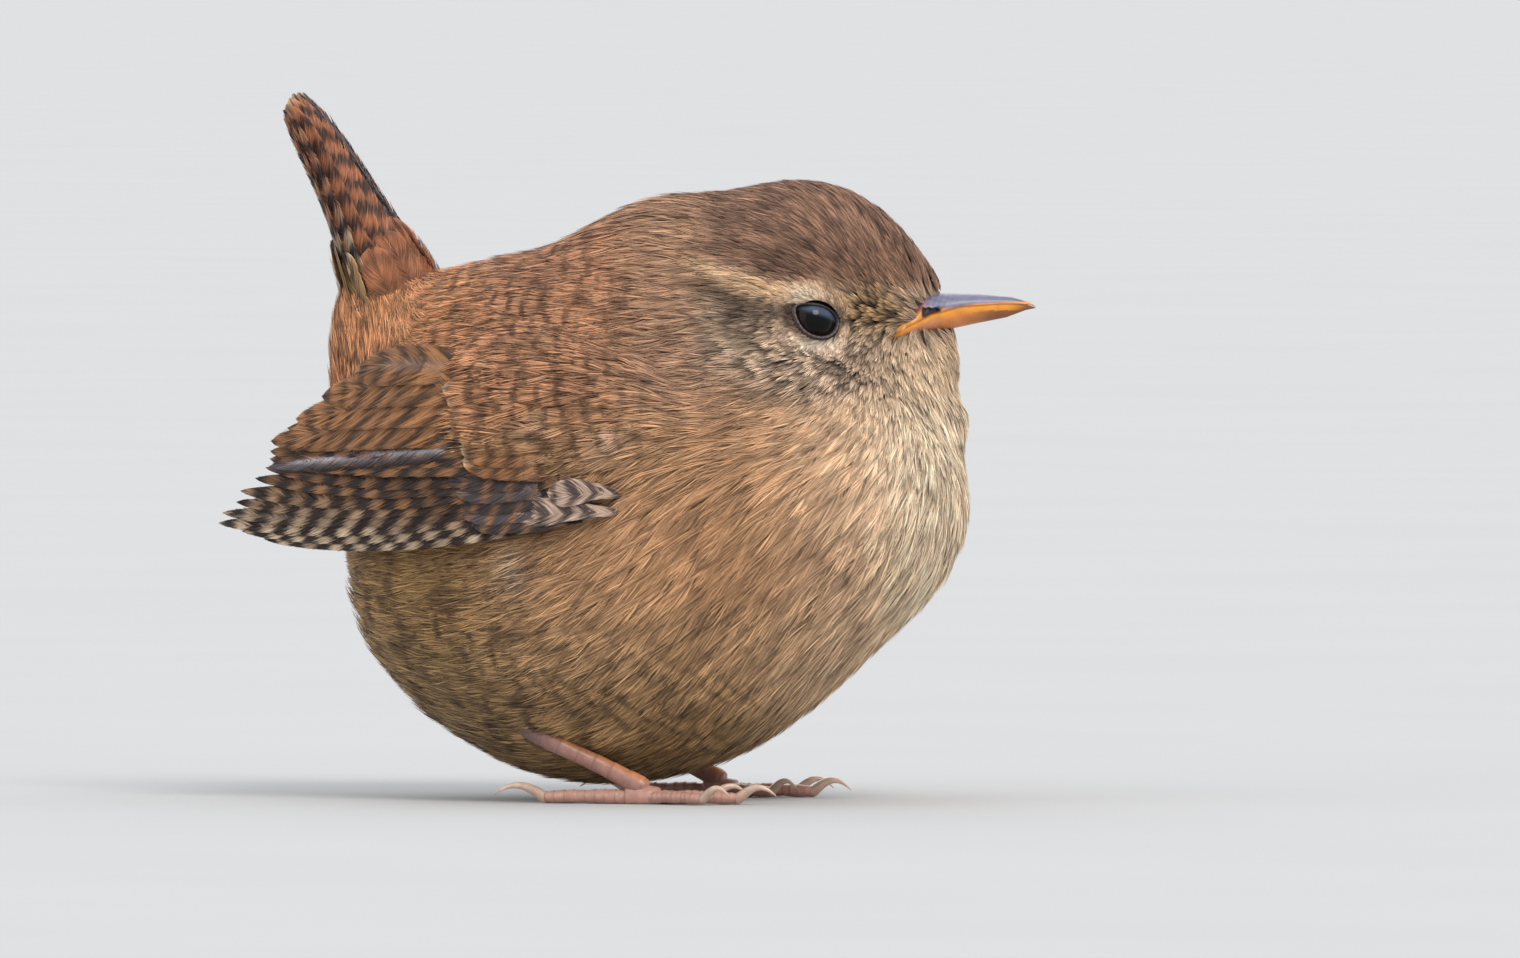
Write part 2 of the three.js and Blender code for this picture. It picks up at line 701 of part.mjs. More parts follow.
// The oval shaft round the tail's axis that parts the tail from the torso
function tailSocket(by) {
  const run = TAIL_TIP.clone().sub(TAIL_BASE).normalize();
  const forward = new THREE.Vector3(run.z, 0, -run.x);
  const [deep, wide] = grown(TAIL_SOCKET_HALF, by);
  const rings = [-TAIL_SOCKET_DEPTH - by, TAIL_SOCKET_LENGTH].map((distance) =>
    Array.from({ length: TAIL_SOCKET_SIDES }, (_, j) => {
      const turn = (2 * Math.PI * (j + 0.5)) / TAIL_SOCKET_SIDES;
      return TAIL_BASE.clone()
        .addScaledVector(run, distance)
        .addScaledVector(forward, deep * Math.cos(turn))
        .add(new THREE.Vector3(0, wide * Math.sin(turn), 0));
    }),
  );
  return loft(rings);
}

// Legs and feet

function mirrored([x, y, z], side) {
  return new THREE.Vector3(x, side * y, z);
}

function tarsus(side, by) {
  const heel = mirrored(HEEL, side);
  const ankle = mirrored(ANKLE, side);
  const shares = Array.from({ length: TARSUS_STEPS + 1 }, (_, i) => i / TARSUS_STEPS);
  const path = shares.map((share) => heel.clone().lerp(ankle, share));
  const radii = shares.map((share) => along(TARSUS_RADII, share) + by);
  return bar(path, radii, TARSUS_SIDES);
}

function toePath(toe, side) {
  const heading = radians(toe.heading);
  const run = new THREE.Vector3(Math.cos(heading), side * Math.sin(heading), 0);
  const start = mirrored([ANKLE[0], ANKLE[1], TOE_HEIGHT], side).addScaledVector(run, toe.from);
  return { run, start, end: start.clone().addScaledVector(run, toe.length) };
}

function toeSolid(toe, side) {
  const { start, end } = toePath(toe, side);
  const path = [];
  const radii = [];
  for (let i = 0; i <= TOE_STATIONS; i++) {
    const t = i / TOE_STATIONS;
    const swell = Math.abs(Math.sin(Math.PI * toe.pads * t));
    path.push(start.clone().lerp(end, t));
    radii.push(toe.radius * (1 - 0.22 * t) * (1 - PAD_SWELL + PAD_SWELL * swell));
  }
  return bar(path, radii, TOE_SIDES);
}

function clawSolid(toe, side) {
  const { run, end } = toePath(toe, side);
  const base = toe.radius * CLAW_BASE_SHARE;
  const path = [end.clone().addScaledVector(run, GAP)];
  const radii = [base];
  for (let i = 0; i <= CLAW_STATIONS; i++) {
    const t = i / CLAW_STATIONS;
    const arch = CLAW_ARCH * Math.sin(Math.PI * CLAW_ARCH_SHARE * t) - CLAW_DROOP * t * t;
    const p = end.clone().addScaledVector(run, GAP + CLAW_COLLAR + (toe.claw - CLAW_COLLAR) * t);
    p.z = Math.max(TOE_HEIGHT + arch, CLAW_TIP_RADIUS);
    path.push(p);
    radii.push(base + (CLAW_TIP_RADIUS - base) * t ** 1.2);
  }
  return bar(path, radii, CLAW_SIDES);
}

function footSolid(side) {
  const heel = mirrored([ANKLE[0] - 1.7, ANKLE[1], TOE_HEIGHT + 0.2], side);
  const ball = mirrored([ANKLE[0] + 1.7, ANKLE[1], TOE_HEIGHT + 0.1], side);
  const sole = bar([heel, heel.clone().lerp(ball, 0.5), ball], [0.8, 1.15, 0.9], TOE_SIDES);
  return joined([sole, ...Object.values(TOES).map((toe) => toeSolid(toe, side))]);
}

function belowFloor() {
  const box = new THREE.BoxGeometry(120, 120, 20);
  box.translate(0, 0, -10);
  return solidOf(box);
}

// Assembly

const wren = new THREE.Group();

function addPart(name, solid, colour, roughness = 0.9) {
  const material = new THREE.MeshStandardMaterial({ color: colour, roughness, metalness: 0 });
  const mesh = new THREE.Mesh(geometryOf(largest(solid)), material);
  mesh.name = name;
  wren.add(mesh);
}

function build() {
  const body = starSolid(TORSO_CENTRE, 0, TORSO_DETAIL);
  const around = starSolid(TORSO_CENTRE, GAP, TORSO_DETAIL);
  const headStar = starSolid(fromHead(...HEAD_CENTRE), 0, HEAD_DETAIL);
  const headAround = starSolid(fromHead(...HEAD_CENTRE), GAP, HEAD_DETAIL);
  const floor = belowFloor();

  let torso = body
    .subtract(headEllipsoid(NECK_THICKNESS + GAP))
    .subtract(tailSocket(GAP));
  let head = headStar.intersect(headEllipsoid(0));
  const neck = body.intersect(headEllipsoid(NECK_THICKNESS)).subtract(headEllipsoid(GAP));

  for (const [name, side] of SIDES) {
    const place = eyePlace(side);
    head = head.add(lidRing(place));
    head = head.subtract(eyeball(place, EYE_RADIUS + GAP));
    addPart("eye_" + name, eyeball(place, EYE_RADIUS), COLOURS.eye, 0.1);
    torso = torso.subtract(tarsus(side, GAP));
    const wing = side > 0 ? leftWing() : flip(leftWing());
    addPart("wing_" + name, wing.subtract(around), COLOURS.wing);
    addPart("leg_" + name, tarsus(side, 0).subtract(floor), COLOURS.leg, 0.6);
    const foot = footSolid(side).subtract(tarsus(side, GAP)).subtract(floor);
    addPart("foot_" + name, foot, COLOURS.foot, 0.6);
    Object.values(TOES).forEach((toe, i) => {
      addPart("claw_" + name + "_" + (i + 1), clawSolid(toe, side), COLOURS.claw, 0.4);
    });
  }

  addPart("tail", featheredTail().add(body).intersect(tailSocket(0)), COLOURS.tail);

  const upper = mandible(CULMEN, 1).subtract(nostril(-1)).subtract(nostril(1));
  addPart("bill_upper", upper.subtract(headAround), COLOURS.upperBill, 0.35);
  addPart("bill_lower", mandible(GONYS, -1).subtract(headAround), COLOURS.lowerBill, 0.35);
  addPart("head", head, COLOURS.head);
  addPart("neck", neck, COLOURS.neck);
  addPart("torso", torso, COLOURS.torso);
}

build();

// The frame's origin: on the floor, under the middle of the bird
const bounds = new THREE.Box3().setFromObject(wren);
const middle = bounds.getCenter(new THREE.Vector3());
wren.position.set(-middle.x, -middle.y, 0);

export default wren;
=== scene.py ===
"""A wren, life size, standing with its tail cocked, as a museum would show it."""

import math
from collections import namedtuple
from functools import partial
from itertools import product

import bmesh
import bpy
import numpy as np
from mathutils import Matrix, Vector


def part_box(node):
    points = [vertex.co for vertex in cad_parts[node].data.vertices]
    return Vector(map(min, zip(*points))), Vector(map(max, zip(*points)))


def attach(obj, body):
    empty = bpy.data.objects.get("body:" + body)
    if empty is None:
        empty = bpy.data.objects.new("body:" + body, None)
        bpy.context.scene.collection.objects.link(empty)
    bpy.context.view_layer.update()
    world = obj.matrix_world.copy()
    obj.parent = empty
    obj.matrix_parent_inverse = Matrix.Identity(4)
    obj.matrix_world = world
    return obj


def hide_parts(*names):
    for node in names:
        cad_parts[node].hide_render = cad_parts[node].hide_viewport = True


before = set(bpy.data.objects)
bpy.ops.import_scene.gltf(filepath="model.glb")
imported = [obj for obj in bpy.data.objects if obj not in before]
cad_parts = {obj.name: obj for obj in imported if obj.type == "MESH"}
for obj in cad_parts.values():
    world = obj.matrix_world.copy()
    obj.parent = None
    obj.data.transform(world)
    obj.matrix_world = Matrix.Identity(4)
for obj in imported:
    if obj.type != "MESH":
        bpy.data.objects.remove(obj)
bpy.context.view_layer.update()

# Lengths below are millimetres in the design's own frame, with the floor at z = 0.
# The volumes that the plumage fills: centre, half sizes, tilt nose up, blend radius.
# A volume that stands off the middle comes on both sides.
BODY_VOLUMES = {
    "core": ([1, 0, 27], [24.5, 21.5, 21.5], 0, 0),
    "breast": ([15, 0, 31], [18.9, 17.5, 15.5], -14, 7),
    "belly": ([-1.5, 0, 18], [20.5, 18.5, 15], 17, 9),
    "rear": ([-17.5, 0, 32], [12, 16.5, 20], -8, 9),
    "rump": ([-25, 0, 41.5], [6.5, 7, 12.5], 18, 8),
    "mantle": ([-5.5, 0, 40.5], [18.6, 17, 14.8], 15, 7.5),
}
HEAD_VOLUMES = {
    "nape": ([-4.2, 0, 46.7], [12, 10, 14], -5, 5.5),
    "skull": ([7.8, 0, 50.4], [11.3, 7, 11.6], -5, 5),
    "cheek": ([2.6, 3.4, 45.4], [7.4, 4.2, 7.6], 0, 5),
    "face": ([13.6, 0, 50], [10.8, 3.4, 7.2], -22, 3),
    "throat": ([14, 0, 41.2], [11.6, 6.2, 4.8], -20, 4),
    "brow": ([7.2, 2.8, 50.4], [7.6, 4.6, 7], -12, 4),
}
# Where the coat stands fuller than the head's own form
FULLER = {
    "forehead": ([13.8, 0, 54.5], [6.5, 3.8, 4.4], -42, 3.0),
    "throat": ([17.4, 0, 43.4], [6.4, 3.4, 3.2], 0, 3.0),
    "lores": ([17.4, 2.3, 49.0], [3.4, 2.1, 1.9], 0, 1.6),
}
HEAD_TURN = math.radians(18)
NECK_PIVOT = np.array([8.0, 0, 0])
SKIN_CENTRE = np.array([4.0, 0, 36])
BILL_MIDDLE = np.array([20.0, 0, 47])
FACE_MIDDLE = np.array([15.0, 0, 48])
GAP = 0.3
SEED = 11

# Camera, as far round and as high as the photograph's
CAMERA_AZIMUTH = math.radians(18)
CAMERA_ELEVATION = math.radians(1.2)
CAMERA_DISTANCE = 3000
CAMERA_VIEW_WIDTH = 152
CAMERA_AIM = (12.0, 32.1)
SENSOR = 36

# Eyes and lids. Each ring of a lid: how far outside the opening, and its height over the coat's form
EYE_AT = (10.1, 48.2)
EYE_RADIUS = 2.7
EYE_OPENING = 2.2
LID_HALF_LENGTH = 2.08
LID_HALF_HEIGHT = 1.66
LID_SLANT = math.radians(-19)
LID_CORNER = 0.35
LID_MOUND = 2.92
LID_RINGS = [(-0.12, -0.34), (0.0, -0.16), (0.1, -0.1), (0.22, -0.14), (0.4, -0.4), (0.9, -0.6),
             (1.7, -0.9)]
LID_STEPS = 156

# Bill, in the head's frame
BILL_ROOT_X = 17.2
BILL_TIP = (32, 49.35)
CULMEN = [[17.2, 50.2], [22, 50.75], [26, 50.65], [29.5, 50.35], [31.2, 49.85]]
COMMISSURE = [[17.2, 46.2], [19, 47.3], [21.5, 48.6], [24.5, 49.4], [28.5, 49.65], [31, 49.6]]
GONYS = [[17.2, 45.4], [19.5, 46.3], [23, 47.05], [26, 47.7], [29, 48.3], [31, 49.05]]
BILL_HALF_WIDTHS = [[17.2, 4.9], [18.7, 4.25], [20.5, 3.2], [23, 2], [27, 1.15], [31, 0.4]]
SLATE_FROM = [[20, 49.0], [21.2, 49.3], [23.2, 49.35], [26, 49.8], [29, 49.95], [31, 50.0]]
FEATHERS_REACH = [[46.4, 18.6], [47.2, 18.5], [48.0, 19.6], [48.7, 20.5], [49.9, 20.9], [50.7, 22.3],
                  [51.2, 23.4]]
NOSTRIL_AT = (22.0, 49.2)
BILL_STATIONS = 120
BILL_ARC = 32
MANDIBLE_OVERLAP = 0.01

# Wings
WING_TIP_X = -40.5
WING_TIP_Y = 11
WING_SPLAY = 0.335
WING_LEAN = 0.3
WING_LEAN_FROM_Z = 31
WING_CAP_Y = 20
WING_BLEND = 1.5
# Each tier: count, roots and tips first to last, half width, lift, sag, lift at the root
WING_TIERS = {
    "primaries": (8, [[3, 29.4], [-2, 33.6]], [[-42.9, 25.5], [-34.8, 33]], 1.05, 0.95, 0.9, 0.6),
    "secondaries": (5, [[-3, 34.2], [-7, 38]], [[-34.4, 33.8], [-32, 36.9]], 1.15, 1.25, 0.2, 0.5),
    "inner": (3, [[-4, 32.4], [-7, 37]], [[-32.4, 32.2], [-30.6, 36]], 1.7, 0.35, 0.3, 0.2),
    "tertials": (4, [[-8, 37.6], [-12, 42.8]], [[-34, 35.4], [-25, 42.2]], 1.7, 1.8, -0.5, -0.4),
    "primary_coverts": (5, [[1, 29], [-1, 32.6]], [[-10.4, 27.8], [-12.8, 32.0]], 0.95, 1.4, 0.2, -0.6),
    "greater_coverts": (7, [[-1, 33.4], [-5, 41.4]], [[-11.2, 34.0], [-13.8, 41]], 1.2, 1.6, 0.1, -0.9),
    "alula": (2, [[6.4, 29.4], [6.0, 31.2]], [[-5.6, 29.0], [-2.4, 30.9]], 1.25, 1.4, 0.1, -2.2),
    "long_secondary": (1, [[-4, 36.0]] * 2, [[-33.6, 33.0]] * 2, 1.1, 1.5, -0.2, -1.6),
}
LONG_TIERS = ("primaries", "secondaries", "inner", "tertials", "long_secondary")
# Each tier's vanes: tilt, where the shaft lies, length of the taper, width at the root
WING_VANES = {
    "primaries": (0.22, -0.3, 0.5, 0.6),
    "secondaries": (0.22, -0.25, 0.35, 0.6),
    "inner": (0.22, 0.0, 0.35, 0.6),
    "tertials": (0.12, 0.0, 0.45, 0.6),
    "primary_coverts": (0.22, 0.0, 0.35, 0.6),
    "greater_coverts": (0.22, 0.0, 0.35, 0.6),
    "alula": (0.14, -0.25, 0.35, -0.1),
    "long_secondary": (0.1, 0.0, 0.35, 0.6),
}
WING_VANE_SCALE = 1.35
OUTER_PRIMARY_SHORTFALL = [8.6, 4.2, 0.6]
LENGTH_WANDER = 0.35

# Tail: its axis, and its half depth and half width along it
TAIL_BASE = np.array([-26.3, 0, 50.5])
TAIL_TIP = np.array([-37.0, 0, 70.1])
TAIL_BOW = 0.5
TAIL_HALF_DEPTHS = [[-0.3, 4.3], [0, 4.2], [0.25, 3.2], [0.5, 2.4], [0.8, 1.7], [1, 1.2]]
TAIL_HALF_WIDTHS = [[-0.3, 5], [0, 5], [0.25, 4.3], [0.5, 3.7], [0.8, 3.0], [1, 2.5]]
TAIL_ROOT_LIFT = 0.6
TAIL_VANE_SCALE = 1.1
TAIL_VANE_TILT = 0.25
TAIL_TAPER = 0.2
# Each tier: turns from the ridge, start, reach of each feather, half width, lift
TAIL_TIERS = {
    "rectrices": ([14, 38, 62, 86, 108, 128], -0.12, [1, 1, 0.985, 0.965, 0.95, 0.92], 1.35, 0),
    "upper_coverts": ([12, 42, 72], -0.25, [0.3, 0.25, 0.2], 1.6, 0.5),
    "under_coverts": ([166, 140, 114], -0.25, [0.34, 0.3, 0.24], 1.5, 0.2),
}

# Feathers of wings and tail
ROOT_WIDTH = 0.6
CAMBER = 0.05
VANE_THICKNESS = 0.12

# The coat: spacing, length, half width and depth of its fans, and width of a barb, on the face,
# the rest of the head and the body
SPACINGS = (0.55, 0.82, 1.34)
FAN_LENGTHS = (2.5, 4.4, 7.8)
FAN_HALF_WIDTHS = (0.38, 0.62, 1.2)
FAN_DEPTHS = (0.4, 0.75, 1.4)
BARB_WIDTHS = (0.028, 0.036, 0.052)
SKIN_DEPTHS = (0.45, 0.9, 1.7)
# How far the skin under the coat is darkened, on the face, the rest of the head and the body: painted
# shade that shows between the barbs
SKIN_PAINTED_SHADE = (0.66, 0.5, 0.4)
TRIES = 9
CELL = 2.0
BARBS = 40
FAN_NODES = 5
CLUMPS = 7
RIM_ROWS = [0.34, 0.62, 0.95, 1.35]
RIM_FEATHERS = 44
# A barb is a strip of seven points: three pairs and its end, made from four points on its line
BARB_STEPS = np.array([0.0, 0.38, 0.72, 1.0])
STRIP_FROM = [0, 1, 2, 0, 1, 2, 3]
STRIP = np.array([[0, 3, 4], [0, 4, 1], [1, 4, 5], [1, 5, 2], [2, 5, 6]])

# Legs and feet, for the left side
HEEL = np.array([-8.9, 12, 8.2])
ANKLE = np.array([4.4, 12.5, 1.7])
TARSUS_FROM, TARSUS_TO = -0.22, 1.07
TARSUS_RADII = [[-0.22, 1.3], [0.12, 1.05], [0.5, 0.84], [0.88, 0.95], [0.98, 1.05], [1.03, 0.8],
                [1.07, 0.1]]
TARSUS_SIDES = 24
TARSUS_SCUTES = 8
LEG_OUT = 1.5
HEEL_IN = 3.5
TOE_HEIGHT = 0.62
TOE_SIDES = 20
# Each toe: start, heading, length, radius, claw length, pads
TOES = {
    "middle": (0.6, -2, 9.2, 0.78, 4, 3),
    "inner": (0.5, -25, 6.4, 0.7, 3.6, 2),
    "outer": (0.5, 22, 7.2, 0.7, 3.6, 3),
    "hind": (1.6, 176, 8.4, 0.8, 5.2, 2),
}
CLAW_SIDES = 16


# Numbers, colours and frames
def smooth(value):
    """A smooth step from 0 to 1 as value goes from 0 to 1."""
    t = np.clip(value, 0, 1)
    return t * t * (3 - 2 * t)


def mix(a, b, share):
    return a + (b - a) * share


def paint(colour, *coats):
    """Lays coats over a colour, or turns over a direction, each by its share at every place."""
    for coat, share in coats:
        colour = mix(colour, coat, np.asarray(share, float)[..., None])
    return colour


def along(pairs, at):
    table = np.array(pairs, float)
    return np.interp(at, table[:, 0], table[:, 1])


def unit(v):
    return v / np.maximum(np.linalg.norm(v, axis=-1, keepdims=True), 1e-9)


def srgb(r, g, b):
    c = np.array([r, g, b], float) / 255
    return np.where(c <= 0.04045, c / 12.92, ((c + 0.055) / 1.055) ** 2.4)


def turned(v, angle):
    c, s = math.cos(angle), math.sin(angle)
    return np.stack([v[..., 0] * c - v[..., 1] * s, v[..., 0] * s + v[..., 1] * c, v[..., 2]], -1)


def to_head(p):
    return turned(p - NECK_PIVOT, -HEAD_TURN)


def from_head(p):
    return turned(p, HEAD_TURN) + NECK_PIVOT


# The plumage's outer form
def terms_of(volumes, in_head):
    terms = []
    for (x, y, z), half, tilt, blend in volumes.values():
        for side in (-1, 1) if y else (1,):
            terms.append((np.array([x, side * y, z]), half, tilt, blend, in_head))
    return terms


PLUMAGE = terms_of(BODY_VOLUMES, False) + terms_of(HEAD_VOLUMES, True)


def ellipsoid_distance(term, p, head):
    at, half, tilt, _, in_head = term
    dx, dy, dz = np.moveaxis((head if in_head else p) - at, -1, 0)
    c, s = math.cos(math.radians(tilt)), math.sin(math.radians(tilt))
    x = (dx * c + dz * s) / half[0]
    y = dy / half[1]
    z = (dz * c - dx * s) / half[2]
    k0 = np.sqrt(x * x + y * y + z * z)
    k1 = np.sqrt((x / half[0]) ** 2 + (y / half[1]) ** 2 + (z / half[2]) ** 2)
    return k0 * (k0 - 1) / np.maximum(k1, 1e-9)


def smooth_min(a, b, blend):
    h = np.maximum(blend - np.abs(a - b), 0) / blend
    return np.minimum(a, b) - h * h * blend / 4


def field(p, terms=PLUMAGE):
    """The distance outside the form, or less than 0 inside it."""
    head = to_head(p)
    value = None
    for term in terms:
        d = ellipsoid_distance(term, p, head)
        value = smooth_min(value, d, term[3]) if term[3] else d
    return value


def normal_of(p, terms=PLUMAGE, step=0.2):
    parts = [field(p + shift, terms) - field(p - shift, terms) for shift in np.eye(3) * step]
    return unit(np.stack(parts, -1))


def leave(start, direction, reach=60.0, steps=90):
    """How far along each ray the form ends."""
    lead = np.linspace(0, reach, steps)
    inside = np.ones(len(start), bool)
    near = np.zeros(len(start))
    for b in lead[1:]:
        inside &= field(start + direction * b) < 0
        near = np.where(inside, b, near)
    far = near + lead[1]
    for _ in range(10):
        middle = (near + far) / 2
        below = field(start + direction * middle[:, None]) < 0
        near = np.where(below, middle, near)
        far = np.where(below, far, middle)
    return (near + far) / 2


def body_side(x, z):
    start = np.stack([x, np.zeros_like(x), z], -1)
    side = leave(start, np.array([0.0, 1, 0]), reach=30, steps=61)
    return np.where(field(start) > 0, -1e3, side)


def wing_sheet(x, z):
    """How far out the folded wing lies."""
    lean = WING_LEAN * np.maximum(z - WING_LEAN_FROM_Z, 0)
    free = np.minimum(WING_TIP_Y + WING_SPLAY * (x - WING_TIP_X), WING_CAP_Y) - lean
    return -smooth_min(-free, -(body_side(x, z) + GAP), WING_BLEND)


# The coat lies over the wing's arm as well, so its form has a low pad there on each side
SHOULDER_X, SHOULDER_Z = -4.2, 37.0
SHOULDER_HALF = [14.5, 6.0, 9.0]
SHOULDER_RISE = 2.5
SHEET_AT_SHOULDER = float(wing_sheet(np.array([SHOULDER_X]), np.array([SHOULDER_Z]))[0])
SHOULDER_Y = SHEET_AT_SHOULDER + SHOULDER_RISE - SHOULDER_HALF[1]
SHOULDERS = {"shoulder": ([SHOULDER_X, SHOULDER_Y, SHOULDER_Z], SHOULDER_HALF, -8, 2.5)}


def eye_place(side):
    """The middle of the eye's opening, the way it faces, and the middle of the eyeball."""
    inward = from_head(np.array([EYE_AT[0], 0, EYE_AT[1]]))
    outward = unit(from_head(np.array([EYE_AT[0], side, EYE_AT[1]])) - inward)
    reach = leave(inward[None], outward[None], reach=20, steps=81)[0]
    surface = inward + outward * reach
    normal = normal_of(surface[None])[0]
    socket = EYE_RADIUS + GAP
    depth = math.sqrt(socket * socket - EYE_OPENING * EYE_OPENING)
    return surface, normal, surface - normal * depth


EYES = {"right": eye_place(-1), "left": eye_place(1)}
MOUNDS = [(centre, [LID_MOUND] * 3, 0, 1.0, False) for _, _, centre in EYES.values()]
COAT_FORM = PLUMAGE + terms_of(SHOULDERS, False) + MOUNDS + terms_of(FULLER, True)
eye_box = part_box("eye_left")
FRAME_SHIFT = (np.array(eye_box[0]) + np.array(eye_box[1])) * 500 - EYES["left"][2]
FRAME_SHIFT[1:] = 0


def onto_form(p):
    return p - normal_of(p, COAT_FORM) * field(p, COAT_FORM)[:, None]


# Pieces
def to_frame(points):
    return ((np.asarray(points) + FRAME_SHIFT) * 0.001).astype(np.float32)


def fill(layer, key, values):
    layer.data.foreach_set(key, np.asarray(values, np.float32).ravel())


def link_object(name, data):
    made = bpy.data.objects.new(name, data)
    bpy.context.scene.collection.objects.link(made)
    return made


def make_piece(name, points, faces, material, colours, uv=None, vane=None, replaces=(),
               sharp=None):
    """One piece from points in design millimetres, faces, and an unwrap by point or by corner."""
    faces = np.asarray(faces, np.int32)
    mesh = bpy.data.meshes.new(name)
    mesh.vertices.add(len(points))
    mesh.vertices.foreach_set("co", to_frame(points).ravel())
    mesh.loops.add(faces.size)
    mesh.loops.foreach_set("vertex_index", faces.ravel())
    mesh.polygons.add(len(faces))
    mesh.polygons.foreach_set("loop_start", np.arange(0, faces.size, faces.shape[1], dtype=np.int32))
    mesh.polygons.foreach_set("use_smooth", np.ones(len(faces), bool))
    mesh.update(calc_edges=True)
    rgba = np.ones((len(points), 4))
    rgba[:, :3] = np.clip(colours, 0, 1)
    fill(mesh.color_attributes.new("Col", "FLOAT_COLOR", "POINT"), "color", rgba)
    if vane is not None:
        fill(mesh.attributes.new("vane", "FLOAT_VECTOR", "POINT"), "vector", vane)
    if uv is not None:
        corners = uv[faces.ravel()] if len(uv) == len(points) else uv
        fill(mesh.uv_layers.new(name="OFBake"), "uv", corners)
    mesh.validate()
    if sharp:
        mesh.set_sharp_from_angle(angle=math.radians(sharp))
    mesh.materials.append(material)
    piece = link_object(name, mesh)
    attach(piece, "root")
    if replaces:
        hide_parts(*replaces)


def ball(subdivisions):
    """Directions spread evenly over a sphere, and the triangles between them."""
    mesh = bmesh.new()
    bmesh.ops.create_icosphere(mesh, subdivisions=subdivisions, radius=1)
    directions = unit(np.array([v.co[:] for v in mesh.verts]))
    faces = np.array([[v.index for v in f.verts] for f in mesh.faces])
    mesh.free()
    return directions, faces


def halved(quads):
    return np.concatenate([quads[:, [0, 1, 2]], quads[:, [0, 2, 3]]])


UNWRAP_MARGIN = 0.01
UNWRAP_SPAN = 0.98


def unwrap(p):
    """Where a point of the skin's form lies on its unwrap: an equal area map round the centre."""
    d = unit(p - SKIN_CENTRE)
    u = np.arctan2(d[..., 1], d[..., 0]) / (2 * math.pi) + 0.5
    v = (d[..., 2] + 1) / 2
    return UNWRAP_MARGIN + UNWRAP_SPAN * np.stack([u, v], -1)


# Materials
def feed(tree, node, key, value):
    """Links a socket to a node's input, or sets the input to a value."""
    if isinstance(value, bpy.types.NodeSocket):
        tree.links.new(value, node.inputs[key])
    else:
        node.inputs[key].default_value = value


def wire(tree, kind, output, *inputs, **values):
    """Adds a node, sets it up by name, feeds its inputs in order or by name, and gives an output."""
    node = tree.nodes.new("ShaderNode" + kind)
    for key, value in values.items():
        if key.replace("_", " ") in node.inputs:
            feed(tree, node, key.replace("_", " "), value)
        else:
            setattr(node, key, value)
    for index, value in enumerate(inputs):
        feed(tree, node, index, value)
    return node.outputs[output]


def new_material(name):
    material = bpy.data.materials.new(name)
    material.use_nodes = True
    return material, material.node_tree


def set_shader(tree, **values):
    for key, value in values.items():
        feed(tree, tree.nodes["Principled BSDF"], key.replace("_", " "), value)


def ramp(tree, factor, low, high, low_at=0.0, high_at=1.0):
    """Colours from low to high as the factor rises."""
    colour = wire(tree, "ValToRGB", "Color", Fac=factor)
    for element, tint, at in zip(colour.node.color_ramp.elements, (low, high), (low_at, high_at)):
        element.position = at
        element.color = (*tint, 1)
    return colour


def times(tree, a, b):
    return wire(tree, "Mix", "Result", data_type="RGBA", blend_type="MULTIPLY", Factor=1, A=a, B=b)


def grain(tree, scale, detail):
    place = wire(tree, "TexCoord", "Object")
    return wire(tree, "TexNoise", "Fac", Vector=place, Scale=scale, Detail=detail)


def mottled_paint(tree, scale, low, high, detail=3.0):
    """The piece's own colours times a noise between low and high."""
    painted = wire(tree, "Attribute", "Color", attribute_name="Col")
    return times(tree, painted, ramp(tree, grain(tree, scale, detail), [low] * 3, [high] * 3, 0.3, 0.7))


def plumage_material(name, roughness, scale, barbs=0.0):
    """Painted plumage with a little sheen, ribbed along the vane attribute where it has barbs."""
    material, tree = new_material(name)
    colour = mottled_paint(tree, scale, 0.86, 1.14)
    if barbs:
        run = wire(tree, "Attribute", "Vector", attribute_name="vane")
        wave = wire(tree, "TexWave", "Fac", bands_direction="X", Vector=run, Scale=barbs,
                    Distortion=0.6, Detail=1)
        bump = wire(tree, "Bump", "Normal", Strength=0.5, Distance=0.00008, Height=wave)
        set_shader(tree, Normal=bump)
        # The colour follows the bump's wave, darker in the troughs between the barb ribs: painted shade
        colour = times(tree, colour, ramp(tree, wave, (0.8, 0.79, 0.78), (1.08, 1.08, 1.08)))
    set_shader(tree, Base_Color=colour, Roughness=roughness, Specular_IOR_Level=0.22,
               Sheen_Weight=0.12, Sheen_Roughness=0.5)
    return material


def add_bars(material):
    """Darkens the coat in bars: the vane attribute has their count and their strength."""
    tree = material.node_tree
    colour = tree.nodes["Principled BSDF"].inputs["Base Color"].links[0].from_socket
    marks = wire(tree, "Attribute", "Vector", attribute_name="vane")
    passed = wire(tree, "SeparateXYZ", "X", Vector=marks)
    angle = wire(tree, "Math", "Value", passed, 2 * math.pi, operation="MULTIPLY")
    wave = wire(tree, "Math", "Value", angle, operation="COSINE")
    shaped = wire(tree, "MapRange", "Result", interpolation_type="SMOOTHSTEP", Value=wave,
                  From_Min=BAR_FROM, To_Max=BAR_DEPTH)
    strong = wire(tree, "Math", "Value", shaped, passed.node.outputs["Y"], operation="MULTIPLY")
    barred = wire(tree, "Mix", "Result", data_type="RGBA", Factor=strong, A=colour,
                  B=(*DARK_BAR * 0.95, 1))
    set_shader(tree, Base_Color=barred)


